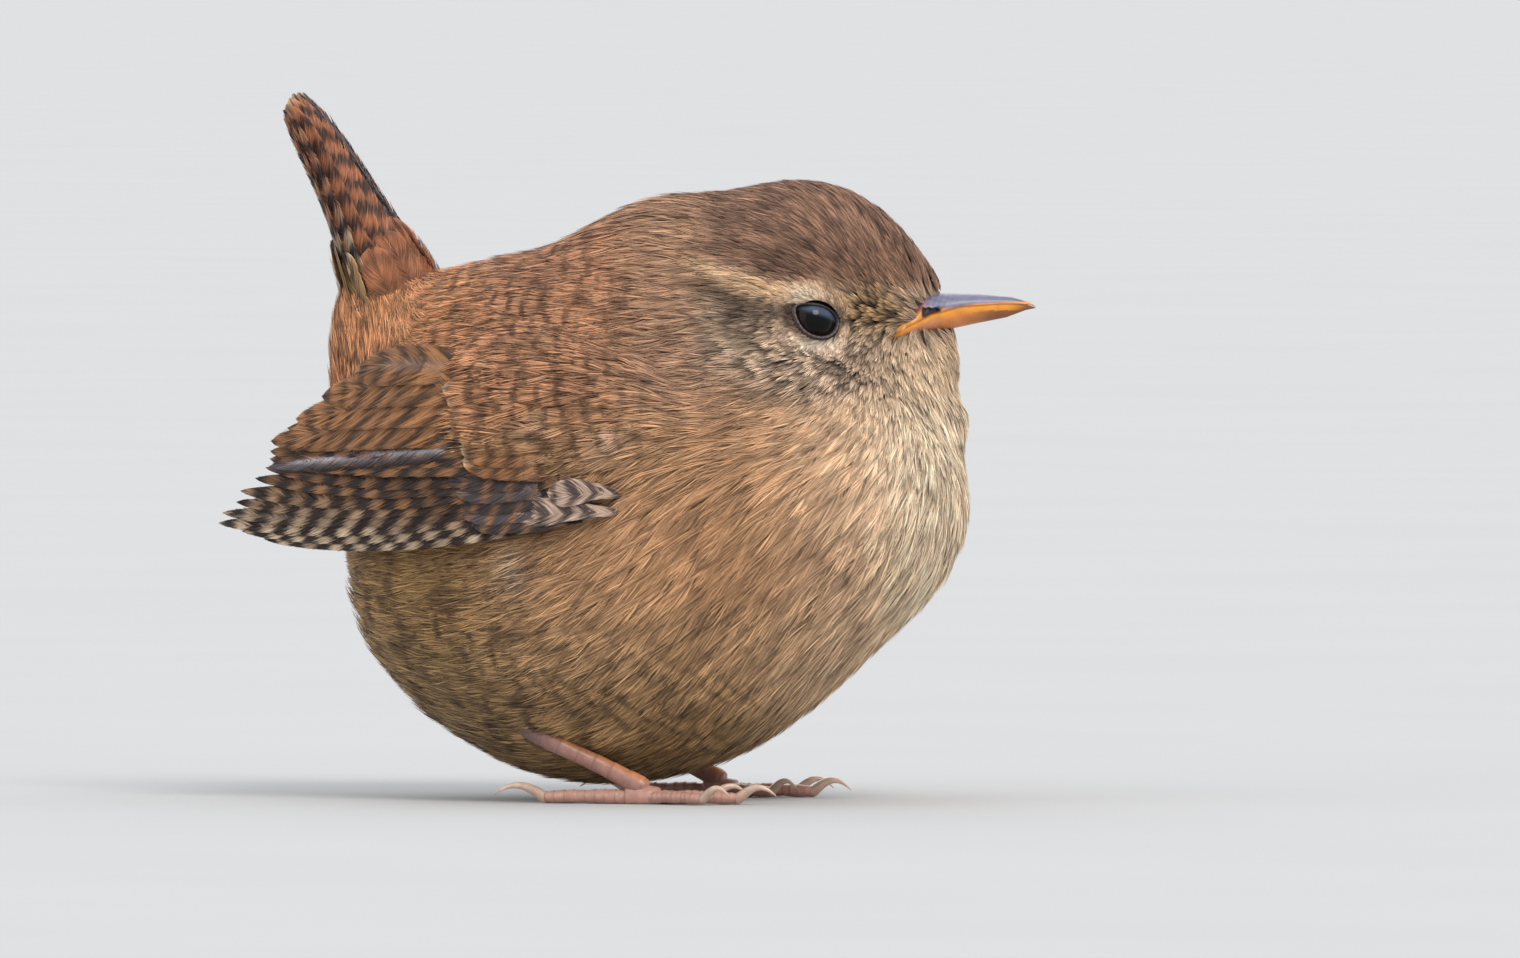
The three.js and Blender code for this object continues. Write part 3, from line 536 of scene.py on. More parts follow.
def horn_material(name, roughness, scale, bump_size, coat=0.0, translucent=0.0):
    """Horn, scale or claw: the painted colour, a fine grain and a little gloss."""
    material, tree = new_material(name)
    bump = wire(tree, "Bump", "Normal", Strength=0.35, Distance=bump_size,
                Height=grain(tree, scale * 2, 4.0))
    set_shader(tree, Base_Color=mottled_paint(tree, scale, 0.82, 1.12, 6.0), Roughness=roughness,
               Coat_Weight=coat, Coat_Roughness=0.2, Subsurface_Weight=translucent,
               Subsurface_Radius=(0.0006, 0.0003, 0.0002), Normal=bump)
    return material


def eye_material():
    material, tree = new_material("eye_gloss")
    set_shader(tree, Base_Color=mottled_paint(tree, 900, 0.7, 1.2), Roughness=0.08,
               Specular_IOR_Level=0.17)
    return material


def floor_material():
    material, tree = new_material("studio_floor")
    colour = ramp(tree, grain(tree, 14.0, 4.0), (0.49, 0.488, 0.482), (0.52, 0.518, 0.512))
    set_shader(tree, Base_Color=colour, Roughness=0.9, Specular_IOR_Level=0)
    return material


# Plumage colours, by tract
CROWN = srgb(140, 106, 86)
CROWN_DARK = srgb(92, 66, 50)
NAPE = srgb(158, 122, 96)
MANTLE = srgb(164, 118, 87)
SCAPULAR = srgb(170, 123, 88)
RUMP = srgb(190, 133, 90)
SIDE = srgb(171, 131, 95)
FLANK = srgb(178, 141, 103)
FLANK_LOW = srgb(162, 129, 86)
REAR = srgb(152, 119, 77)
VENT = srgb(142, 116, 80)
BREAST = srgb(218, 196, 168)
BREAST_MID = srgb(212, 180, 147)
BELLY = srgb(220, 198, 166)
THROAT = srgb(202, 175, 144)
CHEEK_PALE = srgb(220, 190, 160)
CHEEK_DARK = srgb(84, 62, 48)
LORE_PALE = srgb(184, 146, 98)
LORE_DARK = srgb(40, 28, 20)
BROW_PALE = srgb(204, 170, 134)
EYESTRIPE = srgb(48, 33, 27)
EYE_WHITE = srgb(226, 208, 186)
DARK_BAR = srgb(70, 50, 38)
BAR_FROM = 0.05
BAR_DEPTH = 0.8
BAR_PERIOD = 2.15

# Marks on the head: lines of points, and spots by place and half sizes, both ahead and up
BROW_LINE = [[-2.6, 53.9], [1.0, 52.5], [3.5, 51.5], [6.0, 51.1], [9.8, 51.2]]
BROW_UPPER = [[-2.6, 53.9], [0.5, 53.0], [3.9, 52.1]]
STRIPE_LINE = [[-1.2, 52.0], [3.0, 50.1], [7.2, 49.3]]
CROWN_TOP = (9, 54.5, 9, 2.6)
CROWN_EDGE = (6, 53.3, 7, 1.1)
EAR_PATCH = (3.5, 48.4, 6, 2.0)
BLOTTED_CHEEK = (7.5, 44.6, 8, 3.2)
SPECKLED_CHEEK = (8, 43.6, 9, 4.2)
LORES = (15.3, 49.0, 3.6, 2.4)
UNDER_EYE = (10.4, 45.8, 1.7, 0.6)
OVER_EYE = (8.8, 50.8, 1.6, 0.6)
# Spots on the body, in the plane of the photograph
SCAPULARS = (-8, 38, 9, 8)
BARRED_BACK = (-10, 38, 11, 8)
DOWN_BY_THIGH = (-13, 23, 1.6, 2.0)
DOWN_BY_WING = (-3.6, 35.6, 1.4, 1.3)
DOWN_ON_BACK = (-11, 37.4, 1.4, 1.0)


def near(points, a, b, width):
    """How near a place in a plane is to a line of points: 1 on it, fading over the width."""
    best = np.full(a.shape, 1e3)
    for (ax, ay), (bx, by) in zip(points[:-1], points[1:]):
        run = np.array([bx - ax, by - ay], float)
        share = np.clip(((a - ax) * run[0] + (b - ay) * run[1]) / (run @ run), 0, 1)
        best = np.minimum(best, np.hypot(a - ax - run[0] * share, b - ay - run[1] * share))
    return np.exp(-((best / width) ** 2))


def spot(a, b, at_a, at_b, half_a, half_b):
    return np.exp(-(((a - at_a) / half_a) ** 2) - (((b - at_b) / half_b) ** 2))


def body_plumage(u, z):
    """The body's colour, how barred it is and how low it lies, in the plane of the photograph."""
    upper = smooth((z - 34 - 0.12 * u) / 9)
    front = smooth((u - 9 + 0.12 * (z - 25) + 4 * smooth((24 - z) / 12)) / 19)
    low = smooth((17 - z) / 15)
    rear = smooth((-u - 6) / 16) * (1 - upper)
    pale = paint(BREAST_MID, (BREAST, smooth((u - 20) / 9)), (BELLY, low))
    back = paint(
        MANTLE,
        (RUMP, smooth((-u - 12) / 10)),
        (SCAPULAR, spot(u, z, *SCAPULARS)),
        (NAPE, smooth((u + 6) / 8)),
    )
    colour = paint(
        SIDE,
        (FLANK, smooth((24 - z) / 10)),
        (FLANK_LOW, low),
        (REAR, rear),
        (VENT, rear * smooth((20 - z) / 12)),
        (pale, front * (1 - 0.75 * smooth((7 - z) / 5))),
        (back, upper * (1 - smooth((u - 8) / 8))),
    )
    bars = 0.8 * spot(u, z, *BARRED_BACK) + 0.8 * upper * smooth((-u + 2) / 10)
    bars = bars + rear * (0.6 + 0.5 * smooth((26 - z) / 12))
    return colour, bars + 0.7 * smooth((22 - z) / 12) * smooth((18 - u) / 14), low


def face_paint(x, z):
    crown = paint(CROWN, (NAPE, smooth((2 - x) / 9)), (CROWN_DARK, 0.45 * spot(x, z, *CROWN_TOP)))
    return paint(
        CHEEK_PALE,
        (CHEEK_DARK, 0.45),
        (crown, smooth((z - 50.2) / 2.2)),
        (NAPE, smooth((-x - 0.5) / 5)),
        (THROAT, smooth((x - 14 + 0.5 * (46 - z)) / 6) * smooth((47.2 - z) / 2.5)),
    )


def dark_of_head(x, z, on_head):
    """How dark the ear patch, the stripe behind the eye, the crown's edge and the blots are."""
    dark = 1.1 * spot(x, z, *EAR_PATCH) + 1.3 * near(STRIPE_LINE, x, z, 1.0)
    dark = dark + 0.5 * spot(x, z, *CROWN_EDGE)
    dark = np.clip(dark, 0, 1) * on_head * smooth((9.4 - x) / 2)
    blots = smooth(1.1 * np.sin(2.3 * x + 1.7 * z) * np.sin(1.9 * z - 1.3 * x + 0.8) + 0.4)
    return np.maximum(dark, 0.9 * blots * on_head * spot(x, z, *BLOTTED_CHEEK))


def tract(p):
    """The plumage at each point: colour, tip's colour, and how barred and how mottled it is."""
    z = p[:, 2]
    u = p[:, 0] * math.cos(CAMERA_AZIMUTH) - np.abs(p[:, 1]) * math.sin(CAMERA_AZIMUTH)
    x = to_head(p)[:, 0]
    on_head = smooth((x + 6) / 8) * smooth((z - 37 - 0.35 * np.maximum(10 - x, 0)) / 6)
    body, bars, low = body_plumage(u, z)
    plain = paint(body, (face_paint(x, z), on_head))
    dark = dark_of_head(x, z, on_head)
    lore = spot(x, z, *LORES) * on_head
    lored = np.clip(1.2 * lore, 0, 1)
    speckle = spot(x, z, *SPECKLED_CHEEK) * on_head * smooth((z - 38.5) / 3)
    brow = np.maximum(near(BROW_LINE, x, z, 0.85), 0.9 * near(BROW_UPPER, x, z, 0.7)) * on_head
    brow = np.clip(1.5 * brow, 0, 1)
    white = 1.6 * spot(x, z, *UNDER_EYE) + 0.9 * spot(x, z, *OVER_EYE)
    white = np.clip(white, 0, 1) * on_head
    downy = spot(u, z, *DOWN_BY_THIGH) + 1.2 * spot(u, z, *DOWN_BY_WING)
    downy = downy + 0.7 * spot(u, z, *DOWN_ON_BACK)
    base = paint(
        plain,
        (EYESTRIPE, 0.9 * dark),
        (LORE_DARK, lored),
        (CHEEK_DARK, 0.85 * speckle),
        (BROW_PALE * 0.8, brow),
        (EYE_WHITE * 0.6, white),
    )
    tip = paint(
        plain * 1.12,
        (EYESTRIPE * 1.15, 0.86 * dark),
        (LORE_PALE, lored),
        (CHEEK_PALE, speckle),
        (BROW_PALE, brow),
        (EYE_WHITE, white),
        (EYE_WHITE * 0.8, 0.6 * downy),
    )
    mottled = speckle + 0.4 * lore + 0.5 * on_head * smooth((z - 51) / 3) + 0.2 + 0.3 * low
    return base, tip, np.clip(bars * (1 - on_head), 0, 1), np.clip(mottled * (1 - brow), 0, 1)


def bar_phase(p):
    """Counts the cross bars passed on the way back from the bill."""
    x, y, z = p[:, 0], p[:, 1], p[:, 2]
    distance = np.linalg.norm(to_head(p) - BILL_MIDDLE, axis=1)
    ripple = 0.8 * np.sin(0.9 * z + 0.4 * x) + 0.6 * np.sin(0.55 * y + 0.31 * z)
    ripple = ripple + 0.45 * np.sin(1.9 * z - 0.8 * x + 0.5 * y)
    return (distance + ripple) / BAR_PERIOD


# How the coat lies
def from_eyes(v, p):
    """Turns the directions v away from the eyes near them, to lie outwards round the lids."""
    for surface, normal, _ in EYES.values():
        off = p - surface
        off = off - (off @ normal)[:, None] * normal
        gap = np.linalg.norm(off, axis=1, keepdims=True)
        radial = off / np.maximum(gap, 1e-6)
        near_eye = smooth((5.0 - gap) / 2.4) * (np.linalg.norm(p - surface, axis=1) < 6)[:, None]
        inward = np.minimum((v * radial).sum(1, keepdims=True), 0)
        v = v - radial * inward * near_eye * 1.1
        rim = smooth((3.9 - gap) / 1.6) * near_eye * (1 + 0.75 * inward)
        v = v + radial * rim * 1.3
    return v


def lie(p, n):
    """The way a feather points at each place of the coat, along its surface."""
    h = to_head(p)
    upper = smooth((h[:, 2] - 46) / 5)
    ahead = 16 + 6 * smooth((h[:, 0] - 13) / 6)
    source = np.stack([mix(18.0, ahead, upper), np.zeros(len(p)), mix(50.0, 46.8, upper)], -1)
    away = unit(turned(h - source, HEAD_TURN))
    distance = np.linalg.norm(h - BILL_MIDDLE, axis=1)
    fall = (0.95 - 0.85 * smooth((12 - p[:, 0]) / 28)) * (1 - 0.7 * smooth((p[:, 2] - 28) / 10))
    back = np.stack([-np.ones(len(p)), np.zeros(len(p)), -fall], -1)
    v = paint(away, (unit(back), smooth((distance - 15) / 17)))
    rise = smooth((-p[:, 0] - 17) / 8) * smooth((p[:, 2] - 22 - 1.1 * np.abs(p[:, 1])) / 9)
    v = v + rise[:, None] * np.array([0.2, 0, 2.2])
    to_tail = np.linalg.norm(p - TAIL_BASE, axis=1)
    v = from_eyes(paint(v, (unit(TAIL_TIP - TAIL_BASE), smooth((10 - to_tail) / 6))), p)
    return unit(v - (v * n).sum(1, keepdims=True) * n)


def face_share(p):
    """0 on the face, rising to 1 on the rest of the head and 2 on the body."""
    distance = np.linalg.norm(to_head(p) - FACE_MIDDLE, axis=1)
    return smooth((distance - 4.5) / 7) + smooth((distance - 15) / 11)


def by_region(p, on_face, on_head, on_body):
    share = face_share(p)
    first = mix(on_face, on_head, np.clip(share, 0, 1))
    return mix(first, on_body, np.clip(share - 1, 0, 1))


# Skin
def build_skin(material):
    directions, faces = ball(7)
    start = np.tile(SKIN_CENTRE, (len(directions), 1))
    surface = start + directions * leave(start, directions, reach=60, steps=70)[:, None]
    points = surface - normal_of(surface) * by_region(surface, *SKIN_DEPTHS)[:, None]
    base, _, bars, _ = tract(surface)
    # The skin takes the coat's colour darkened by region: painted shade in the gaps between the barbs
    colours = paint(base, (DARK_BAR, 0.25 * bars)) * by_region(surface, *SKIN_PAINTED_SHADE)[:, None]
    corners = unwrap(surface)[faces]
    u = corners[:, :, 0]
    across_seam = (u.max(1) - u.min(1) > 0.5)[:, None] & (u < 0.5)
    u[across_seam] = UNWRAP_MARGIN + UNWRAP_SPAN
    make_piece("skin", points, faces, material, colours, uv=corners.reshape(-1, 2),
               replaces=("torso", "neck", "head"))
    return surface, faces


def scatter(surface, faces, rng):
    """Roots spread over the form, each clear of the last by the spacing of its region."""
    a, b, c = (surface[faces[:, i]] for i in range(3))
    area = np.linalg.norm(np.cross(b - a, c - a), axis=1) / 2
    weight = area / by_region((a + b + c) / 3, *SPACINGS) ** 2
    count = int(weight.sum() * TRIES)
    pick = rng.choice(len(faces), count, p=weight / weight.sum())
    r1 = np.sqrt(rng.random(count))[:, None]
    r2 = rng.random(count)[:, None]
    points = a[pick] * (1 - r1) + b[pick] * (r1 * (1 - r2)) + c[pick] * (r1 * r2)
    radius = by_region(points, *SPACINGS) * 0.82
    cells, kept = {}, []
    keys = np.floor(points / CELL).astype(int).tolist()
    for i, ((x, y, z), r) in enumerate(zip(points.tolist(), radius.tolist())):
        block = product(*(range(k - 1, k + 2) for k in keys[i]))
        others = (q for cell in block for q in cells.get(cell, ()))
        if all((q[0] - x) ** 2 + (q[1] - y) ** 2 + (q[2] - z) ** 2 >= r * r for q in others):
            cells.setdefault(tuple(keys[i]), []).append((x, y, z))
            kept.append(i)
    return points[kept]


def off_tail(p):
    """How far a point is along the tail's axis and how far aside from it."""
    run = unit(TAIL_TIP - TAIL_BASE)
    height = (p - TAIL_BASE) @ run
    return height, np.linalg.norm(p - TAIL_BASE - height[:, None] * run, axis=1)


def keep_root(p):
    """False where a feather would grow from the bill, an eye, the tail or under a folded wing."""
    h = to_head(p)
    mouth = along(COMMISSURE, h[:, 0])
    bow = np.sqrt(np.clip(1 - (h[:, 1] / (along(BILL_HALF_WIDTHS, h[:, 0]) + 0.1)) ** 2, 0, 1))
    over = mouth + (along(CULMEN, h[:, 0]) - mouth) * bow + 0.1
    under = mouth + (along(GONYS, h[:, 0]) - mouth) * bow + 0.35
    bill = (h[:, 0] > along(FEATHERS_REACH, h[:, 2]) + 0.6) & (bow > 0)
    keep = ~(bill & (h[:, 2] < over) & (h[:, 2] > under))
    for surface, normal, _ in EYES.values():
        close = np.linalg.norm(p - surface, axis=1) < 5
        keep &= ~(close & (eye_size(p, surface, normal) < 1.5))
    x, z = p[:, 0], p[:, 2]
    top = np.minimum(44.0 + 0.46 * (x + 14), 44.5)
    low_edge = 27.6 + 1.9 * smooth((x + 14) / 16)
    shown = ((z > low_edge) & (z < 32.6) & (x < 4.2)) | ((z >= 32.6) & (z < top) & (x < -7.0))
    keep &= ~(shown & (np.abs(p[:, 1]) > wing_sheet(x, z) - 2.0))
    height, aside = off_tail(p)
    return keep & ~((aside < 3.0) & (height > -6))


def eye_axes(normal):
    up = np.array([0.0, 0, 1])
    ahead = unit(np.cross(up, normal))
    ahead = ahead if ahead[0] > 0 else -ahead
    high = unit(up - (up @ normal) * normal)
    c, s = math.cos(LID_SLANT), math.sin(LID_SLANT)
    return ahead * c + high * s, high * c - ahead * s


def eye_size(p, surface, normal):
    """1 on the outer edge of the lids' rim, less inside it."""
    ahead, high = eye_axes(normal)
    off = p - surface
    a = (off @ ahead) / (LID_HALF_LENGTH + 0.26)
    b = (off @ high) / (LID_HALF_HEIGHT + 0.26)
    return np.sqrt(a * a + b * b)


def push_from_eyes(points):
    for surface, normal, _ in EYES.values():
        ahead, high = eye_axes(normal)
        off = points - surface
        size = eye_size(points, surface, normal)
        close = (size < 1) & (np.abs(off @ normal) < 3)
        gain = np.where(close, 1 / np.maximum(size, 0.05) - 1, 0)
        points = points + ahead * ((off @ ahead) * gain)[..., None]
        points = points + high * ((off @ high) * gain)[..., None]
    return points


# Barbs, for the coat and for the feathers of wings and tail
def barb_width(side, run, normal, aside, ahead, roll):
    """The direction of a barb's width: across its way, rolled by an angle."""
    size = np.sqrt(aside**2 + ahead**2) + 1e-9
    cross = side * (ahead / size)[..., None] - run * (aside / size)[..., None]
    return cross * np.cos(roll)[..., None] + normal * np.sin(roll)[..., None]


def strips(points, cross, wide):
    """The seven points of each barb's strip, from the four on its line."""
    aside = cross[..., :3, :] * wide[..., None]
    pairs = points[..., :3, :]
    return np.concatenate([pairs - aside, pairs + aside, points[..., 3:, :]], -2)


def strip_faces(count):
    return (np.arange(count)[:, None, None] * 7 + STRIP[None]).reshape(-1, 3)


def fan_measures(roots, rng):
    """Each fan's length, half width and depth, its barbs' width, and how far its tip stands off."""
    count = len(roots)
    eye_gap = np.min([np.linalg.norm(roots - e[0], axis=1) for e in EYES.values()], axis=0)
    tail_gap = np.linalg.norm(roots - TAIL_BASE, axis=1)
    length = by_region(roots, *FAN_LENGTHS) * (0.8 + 0.4 * rng.random(count))
    length = length * (1 + 0.35 * smooth((11 - tail_gap) / 5))
    length = length * (0.42 + 0.58 * smooth((eye_gap - 2.0) / 2.4))
    half = by_region(roots, *FAN_HALF_WIDTHS) * (0.8 + 0.4 * rng.random(count))
    depth = by_region(roots, *FAN_DEPTHS) * (0.3 + 0.7 * smooth((eye_gap - 2.3) / 1.5))
    width = by_region(roots, *BARB_WIDTHS)
    loose = smooth((-roots[:, 0] - 8) / 14) * smooth((30 - roots[:, 2]) / 14)
    loose = loose + 0.5 * smooth((10 - tail_gap) / 4)
    top = 0.1 + 0.9 * loose * rng.random(count) ** 2
    return [v[:, None, None] for v in (length, half, depth, width, top)]


def fan_nodes(roots, length):
    """Points along each fan's shaft, which follows the form the way that the coat lies."""
    nodes = [roots]
    for _ in range(FAN_NODES - 1):
        p = nodes[-1]
        nodes.append(onto_form(p + lie(p, normal_of(p, COAT_FORM)) * (length / (FAN_NODES - 1))))
    return np.stack(nodes, 1)


def lay_barbs(count, rng):
    """Barbs in fans of length and half width 1: along, aside, and the side each is on."""
    size = (count, BARBS)
    share = (np.arange(BARBS) + 0.5) / BARBS
    q = np.clip(share[None] + (rng.random(size) - 0.5) * 0.8 / BARBS, 0.01, 0.99)
    hand = np.where(np.arange(BARBS) % 2, 1.0, -1.0)[None]
    wobble = 1 + 0.16 * (rng.random(size) - 0.5)
    start = 0.04 + 0.56 * q
    end = np.minimum(0.55 + 0.45 * q**0.75, 1) * (1 + 0.16 * (rng.random(size) - 0.5))
    reach = np.sqrt(1 - q**2.2) * wobble
    x = start[..., None] + (end - start)[..., None] * BARB_STEPS**1.1
    y = (hand * reach)[..., None] * (1 - (1 - BARB_STEPS) ** 1.5)
    return x, y, hand


def fan_tones(x, y, half, mottled, rng):
    """How light each point of a fan's barbs is: by barb, by clump of barbs, by fan and by blot."""
    count = len(x)
    pick = np.arange(BARBS) // 6 + CLUMPS * (np.arange(BARBS) % 2)
    clump = (rng.random((count, 2 * CLUMPS, 1)) - 0.5)[:, pick]
    fan_tone = rng.random((count, 1, 1)) - 0.5
    tone = 1 + 0.5 * (rng.random((count, BARBS, 1)) - 0.5) + 0.9 * clump + 0.35 * fan_tone
    blotch = (rng.random(count) < 0.4) * (0.5 + 0.5 * rng.random(count)) * mottled
    tone = tone * (0.84 + 0.22 * np.clip(x, 0, 1)) * (1.1 - 0.78 * blotch)[:, None, None]
    rib = 1 - 0.16 * np.exp(-((y / (0.16 * half)) ** 2)) * (x < 0.97)
    return tone * rib


def grow_fans(roots, rng):
    """Feathers as fans of barbs: points, colours, unwrap and marks, feather by feather."""
    count = len(roots)
    length, half, depth, width, top = fan_measures(roots, rng)
    nodes = fan_nodes(roots, length[:, 0])
    normals = normal_of(nodes, COAT_FORM)
    runs = unit(np.gradient(nodes, axis=1))
    x, y, hand = lay_barbs(count, rng)
    y = y * half
    inside = np.clip(x, 0, 1)
    at = inside * (FAN_NODES - 1)
    k = np.minimum(at.astype(int), FAN_NODES - 2)
    f = (at - k)[..., None]
    rows = np.arange(count)[:, None, None]

    def along_fan(values):
        values = values.reshape(count, FAN_NODES, -1)
        return values[rows, k] * (1 - f) + values[rows, k + 1] * f

    normal = along_fan(normals)
    side = along_fan(unit(np.cross(normals, runs)))
    run = along_fan(runs)
    overshoot = (np.maximum(x - 1, 0) * length)[..., None]
    points = along_fan(nodes) + side * y[..., None] + run * overshoot
    height = -0.9 * depth + (0.9 * depth + top) * inside**0.75
    height = height + (rng.random((count, BARBS, 1)) - 0.6) * 0.34 * depth * x
    points = points + normal * (height - field(points, COAT_FORM))[..., None]
    points = push_from_eyes(points)
    aside = hand[..., None] * np.gradient(np.abs(y), axis=2)
    ahead = np.gradient(x * length, axis=2)
    roll = (rng.random((count, BARBS, 1)) - 0.5) * 1.3
    cross = barb_width(side, run, normal, aside, ahead, roll)
    wide = width * (0.75 + 0.5 * rng.random((count, BARBS, 1))) * np.array([0.8, 1.0, 0.7])

    flat = nodes.reshape(-1, 3)
    base, tip, bars, mottled = tract(flat)
    colour = paint(along_fan(base), (along_fan(tip), smooth((x - 0.45) / 0.4)))
    bar = along_fan(bars)[..., 0] * (0.6 + 0.8 * rng.random(count))[:, None, None]
    passed = along_fan(bar_phase(flat))[..., 0]
    passed = passed + 0.42 * rng.random(count)[:, None, None] + 0.1 * np.abs(y)
    mottled = mottled.reshape(count, FAN_NODES)[:, 1]
    colour = colour * fan_tones(x, y, half, mottled, rng)[..., None]
    marks = np.stack([passed, np.clip(bar, 0, 1), np.zeros_like(bar)], -1)
    uv = unwrap(roots)[:, None, None] + 0.003 * np.stack([inside - 0.5, y / (2 * half)], -1)
    by_strip = [v[:, :, STRIP_FROM] for v in (colour, uv, marks)]
    return strips(points, cross, wide), *by_strip


def rim_roots(name):
    """Roots in rows round the lids, so that small feathers start right at their rim."""
    rows = []
    for row, by in enumerate(RIM_ROWS):
        turn = 2 * math.pi * (np.arange(RIM_FEATHERS) + 0.5 * (row % 2)) / RIM_FEATHERS
        rows.append(on_lids(name, turn, by, 0.0))
    return np.concatenate(rows)


def coat_names(roots):
    """The name of the piece that each root belongs to."""
    ahead = to_head(roots)[:, 0]
    on_head = (ahead > -5) & (roots[:, 2] > 40 + 0.3 * np.maximum(8 - ahead, 0))
    front, high = roots[:, 0] > 4, roots[:, 2] > 33
    on_body = np.where(front, np.where(high, "shoulder", "breast"), np.where(high, "mantle", "flank"))
    part = np.where(on_head, np.where(face_share(roots) < 0.75, "face", "crown"), on_body)
    side = np.where(roots[:, 1] < 0, "right", "left")
    return np.array([f"coat_{p}_{s}" for p, s in zip(part, side)])


def build_coat(surface, faces, material):
    rng = np.random.default_rng(SEED)
    roots = scatter(surface, faces, rng)
    for _ in range(3):
        roots = onto_form(roots)
    roots = np.concatenate([roots[keep_root(roots)], rim_roots("right"), rim_roots("left")])
    names = coat_names(roots)
    for name in sorted(set(names)):
        points, colours, uv, marks = grow_fans(roots[names == name], rng)
        triangles = strip_faces(points.shape[0] * points.shape[1])
        make_piece(name, points.reshape(-1, 3), triangles, material,
                   colours.reshape(-1, 3), uv=uv.reshape(-1, 2), vane=marks.reshape(-1, 3))


# Vanes of the wings and tail
Feather = namedtuple("Feather", "at out half tilt shaft taper root_width")


def vane_shape(feather, t):
    root = np.clip(feather.root_width + 1.4 * t, 0.02, 1)
    end = np.maximum((t - 1 + feather.taper) / feather.taper, 0)
    return root * np.maximum(1 - end**2.2, 0.003) ** 0.62


def grid_faces(rows, columns):
    """The quads of a grid's upper and lower sheet and of the rim between them."""
    r, c = np.meshgrid(np.arange(rows - 1), np.arange(columns - 1), indexing="ij")
    a = (r * columns + c).ravel()
    upper = np.stack([a, a + columns, a + columns + 1, a + 1], -1)
    lower = upper[:, ::-1] + rows * columns
    ring = list(range(columns)) + [columns * (i + 1) - 1 for i in range(1, rows)]
    ring += [columns * (rows - 1) + j for j in range(columns - 2, -1, -1)]
    ring += [columns * i for i in range(rows - 2, 0, -1)]
    a = np.array(ring)
    b = np.roll(a, -1)
    rim = np.stack([a, b, b + rows * columns, a + rows * columns], -1)
    return np.concatenate([upper, lower, rim])


def ragged(t, rng, splits, depth):
    """How far a vane's edge draws in along its length, where its barbs have parted."""
    edge = 0.03 * np.abs(np.sin(t * 97 + rng.random() * 6))
    for _ in range(splits):
        at = 0.25 + 0.7 * rng.random()
        size = 0.012 + 0.02 * rng.random()
        edge = edge + depth * rng.random() * np.exp(-(((t - at) / size) ** 2))
    return np.clip(edge, 0, 0.6)


def feather_axes(feather):
    """The ways along and across a feather at its stations, and the lengths between them."""
    run = unit(np.gradient(feather.at, axis=0))
    across = unit(np.cross(feather.out, run))
    return run, across, np.linalg.norm(np.diff(feather.at, axis=0), axis=1)


def vane_mesh(feather, rng, columns, splits):
    """A feather's sheet: points, quads, distance from the tip, place on the web, lines of barbs."""
    at, out, half, tilt, shaft = feather[:5]
    t = np.linspace(0, 1, len(at))[:, None]
    _, across, steps = feather_axes(feather)
    reach = half * vane_shape(feather, t)
    by_shaft = shaft + np.array([-0.07, 0, 0.07])
    s = np.unique(np.concatenate([np.linspace(-1, 1, columns - 3), by_shaft]))[None]
    low, high = [1 - ragged(t, rng, splits, 0.3) for _ in range(2)]
    place = np.where(s < 0, s * low, s * high) * reach
    ridge = 0.1 * np.exp(-(((s - shaft) * reach / 0.09) ** 2)) * (1 - 0.7 * t)
    rise = -place * tilt + CAMBER * reach * (1 - s**2) + ridge
    top = at[:, None] + across[:, None] * place[..., None] + out[:, None] * rise[..., None]
    body = VANE_THICKNESS * (1 - 0.5 * t) * np.sqrt(np.clip(1 - 0.85 * s**2, 0, 1))
    bottom = top - out[:, None] * body[..., None]
    length = np.concatenate([[0], np.cumsum(steps)])[:, None]
    slant = length + 0.9 * np.abs(place - shaft * reach)
    vane = np.stack([slant, place, np.zeros_like(place)], -1)
    measures = [np.broadcast_to(v, place.shape) for v in (length[-1] - length, s)] + [vane]
    both = [np.concatenate([v.reshape(-1, *v.shape[2:])] * 2) for v in measures]
    points = np.concatenate([top.reshape(-1, 3), bottom.reshape(-1, 3)])
    return points, grid_faces(len(at), s.size), *both


def barb_layer(feather, rng, count):
    """Barbs over a feather: the same as its sheet's, and how light each barb is."""
    at, out, half, tilt, shaft = feather[:5]
    size = 2 * count
    rows = np.linspace(0, 1, len(at))
    run, across, steps = feather_axes(feather)
    full = steps.sum()
    hand = np.tile([-1.0, 1.0], count)
    base = np.repeat(np.linspace(0.02, 0.96, count), 2)
    base = base + 0.4 / count * (rng.random(size) - 0.5)
    lean = np.minimum(base + (1.5 + 0.6 * rng.random(size)) * half / full, 1.0)
    edge = hand * (half * vane_shape(feather, lean) * (0.92 + 0.16 * rng.random(size)))
    start = shaft * half * vane_shape(feather, base)
    lateral = start[:, None] + (edge - start)[:, None] * (1 - (1 - BARB_STEPS) ** 1.4)
    t = base[:, None] + (lean - base)[:, None] * BARB_STEPS**1.1
    middle, outward, side, ahead = [
        np.stack([np.interp(t, rows, column) for column in v.T], -1) for v in (at, out, across, run)
    ]
    rise = -lateral * tilt + CAMBER * half + 0.05 + 0.08 * rng.random((size, 1))
    points = middle + side * lateral[..., None] + outward * rise[..., None]
    roll = rng.random((size, 1)) - 0.5
    forward = np.gradient(t, axis=1) * full
    cross = barb_width(side, ahead, outward, np.gradient(lateral, axis=1), forward, roll)
    wide = np.array([0.9, 1.0, 0.7]) * np.clip(0.4 * full / count, 0.04, 0.09)
    wide = wide * (0.7 + 0.5 * rng.random((size, 1)))
    distance = (full * (1 - t))[:, STRIP_FROM].ravel()
    place = lateral[:, STRIP_FROM].ravel()
    vane = np.stack([distance * 0, place, distance * 0], -1)
    tone = np.repeat(0.86 + 0.34 * rng.random(size), 7)
    points = strips(points, cross, wide).reshape(-1, 3)
    return points, strip_faces(size), distance, place / half, vane, tone


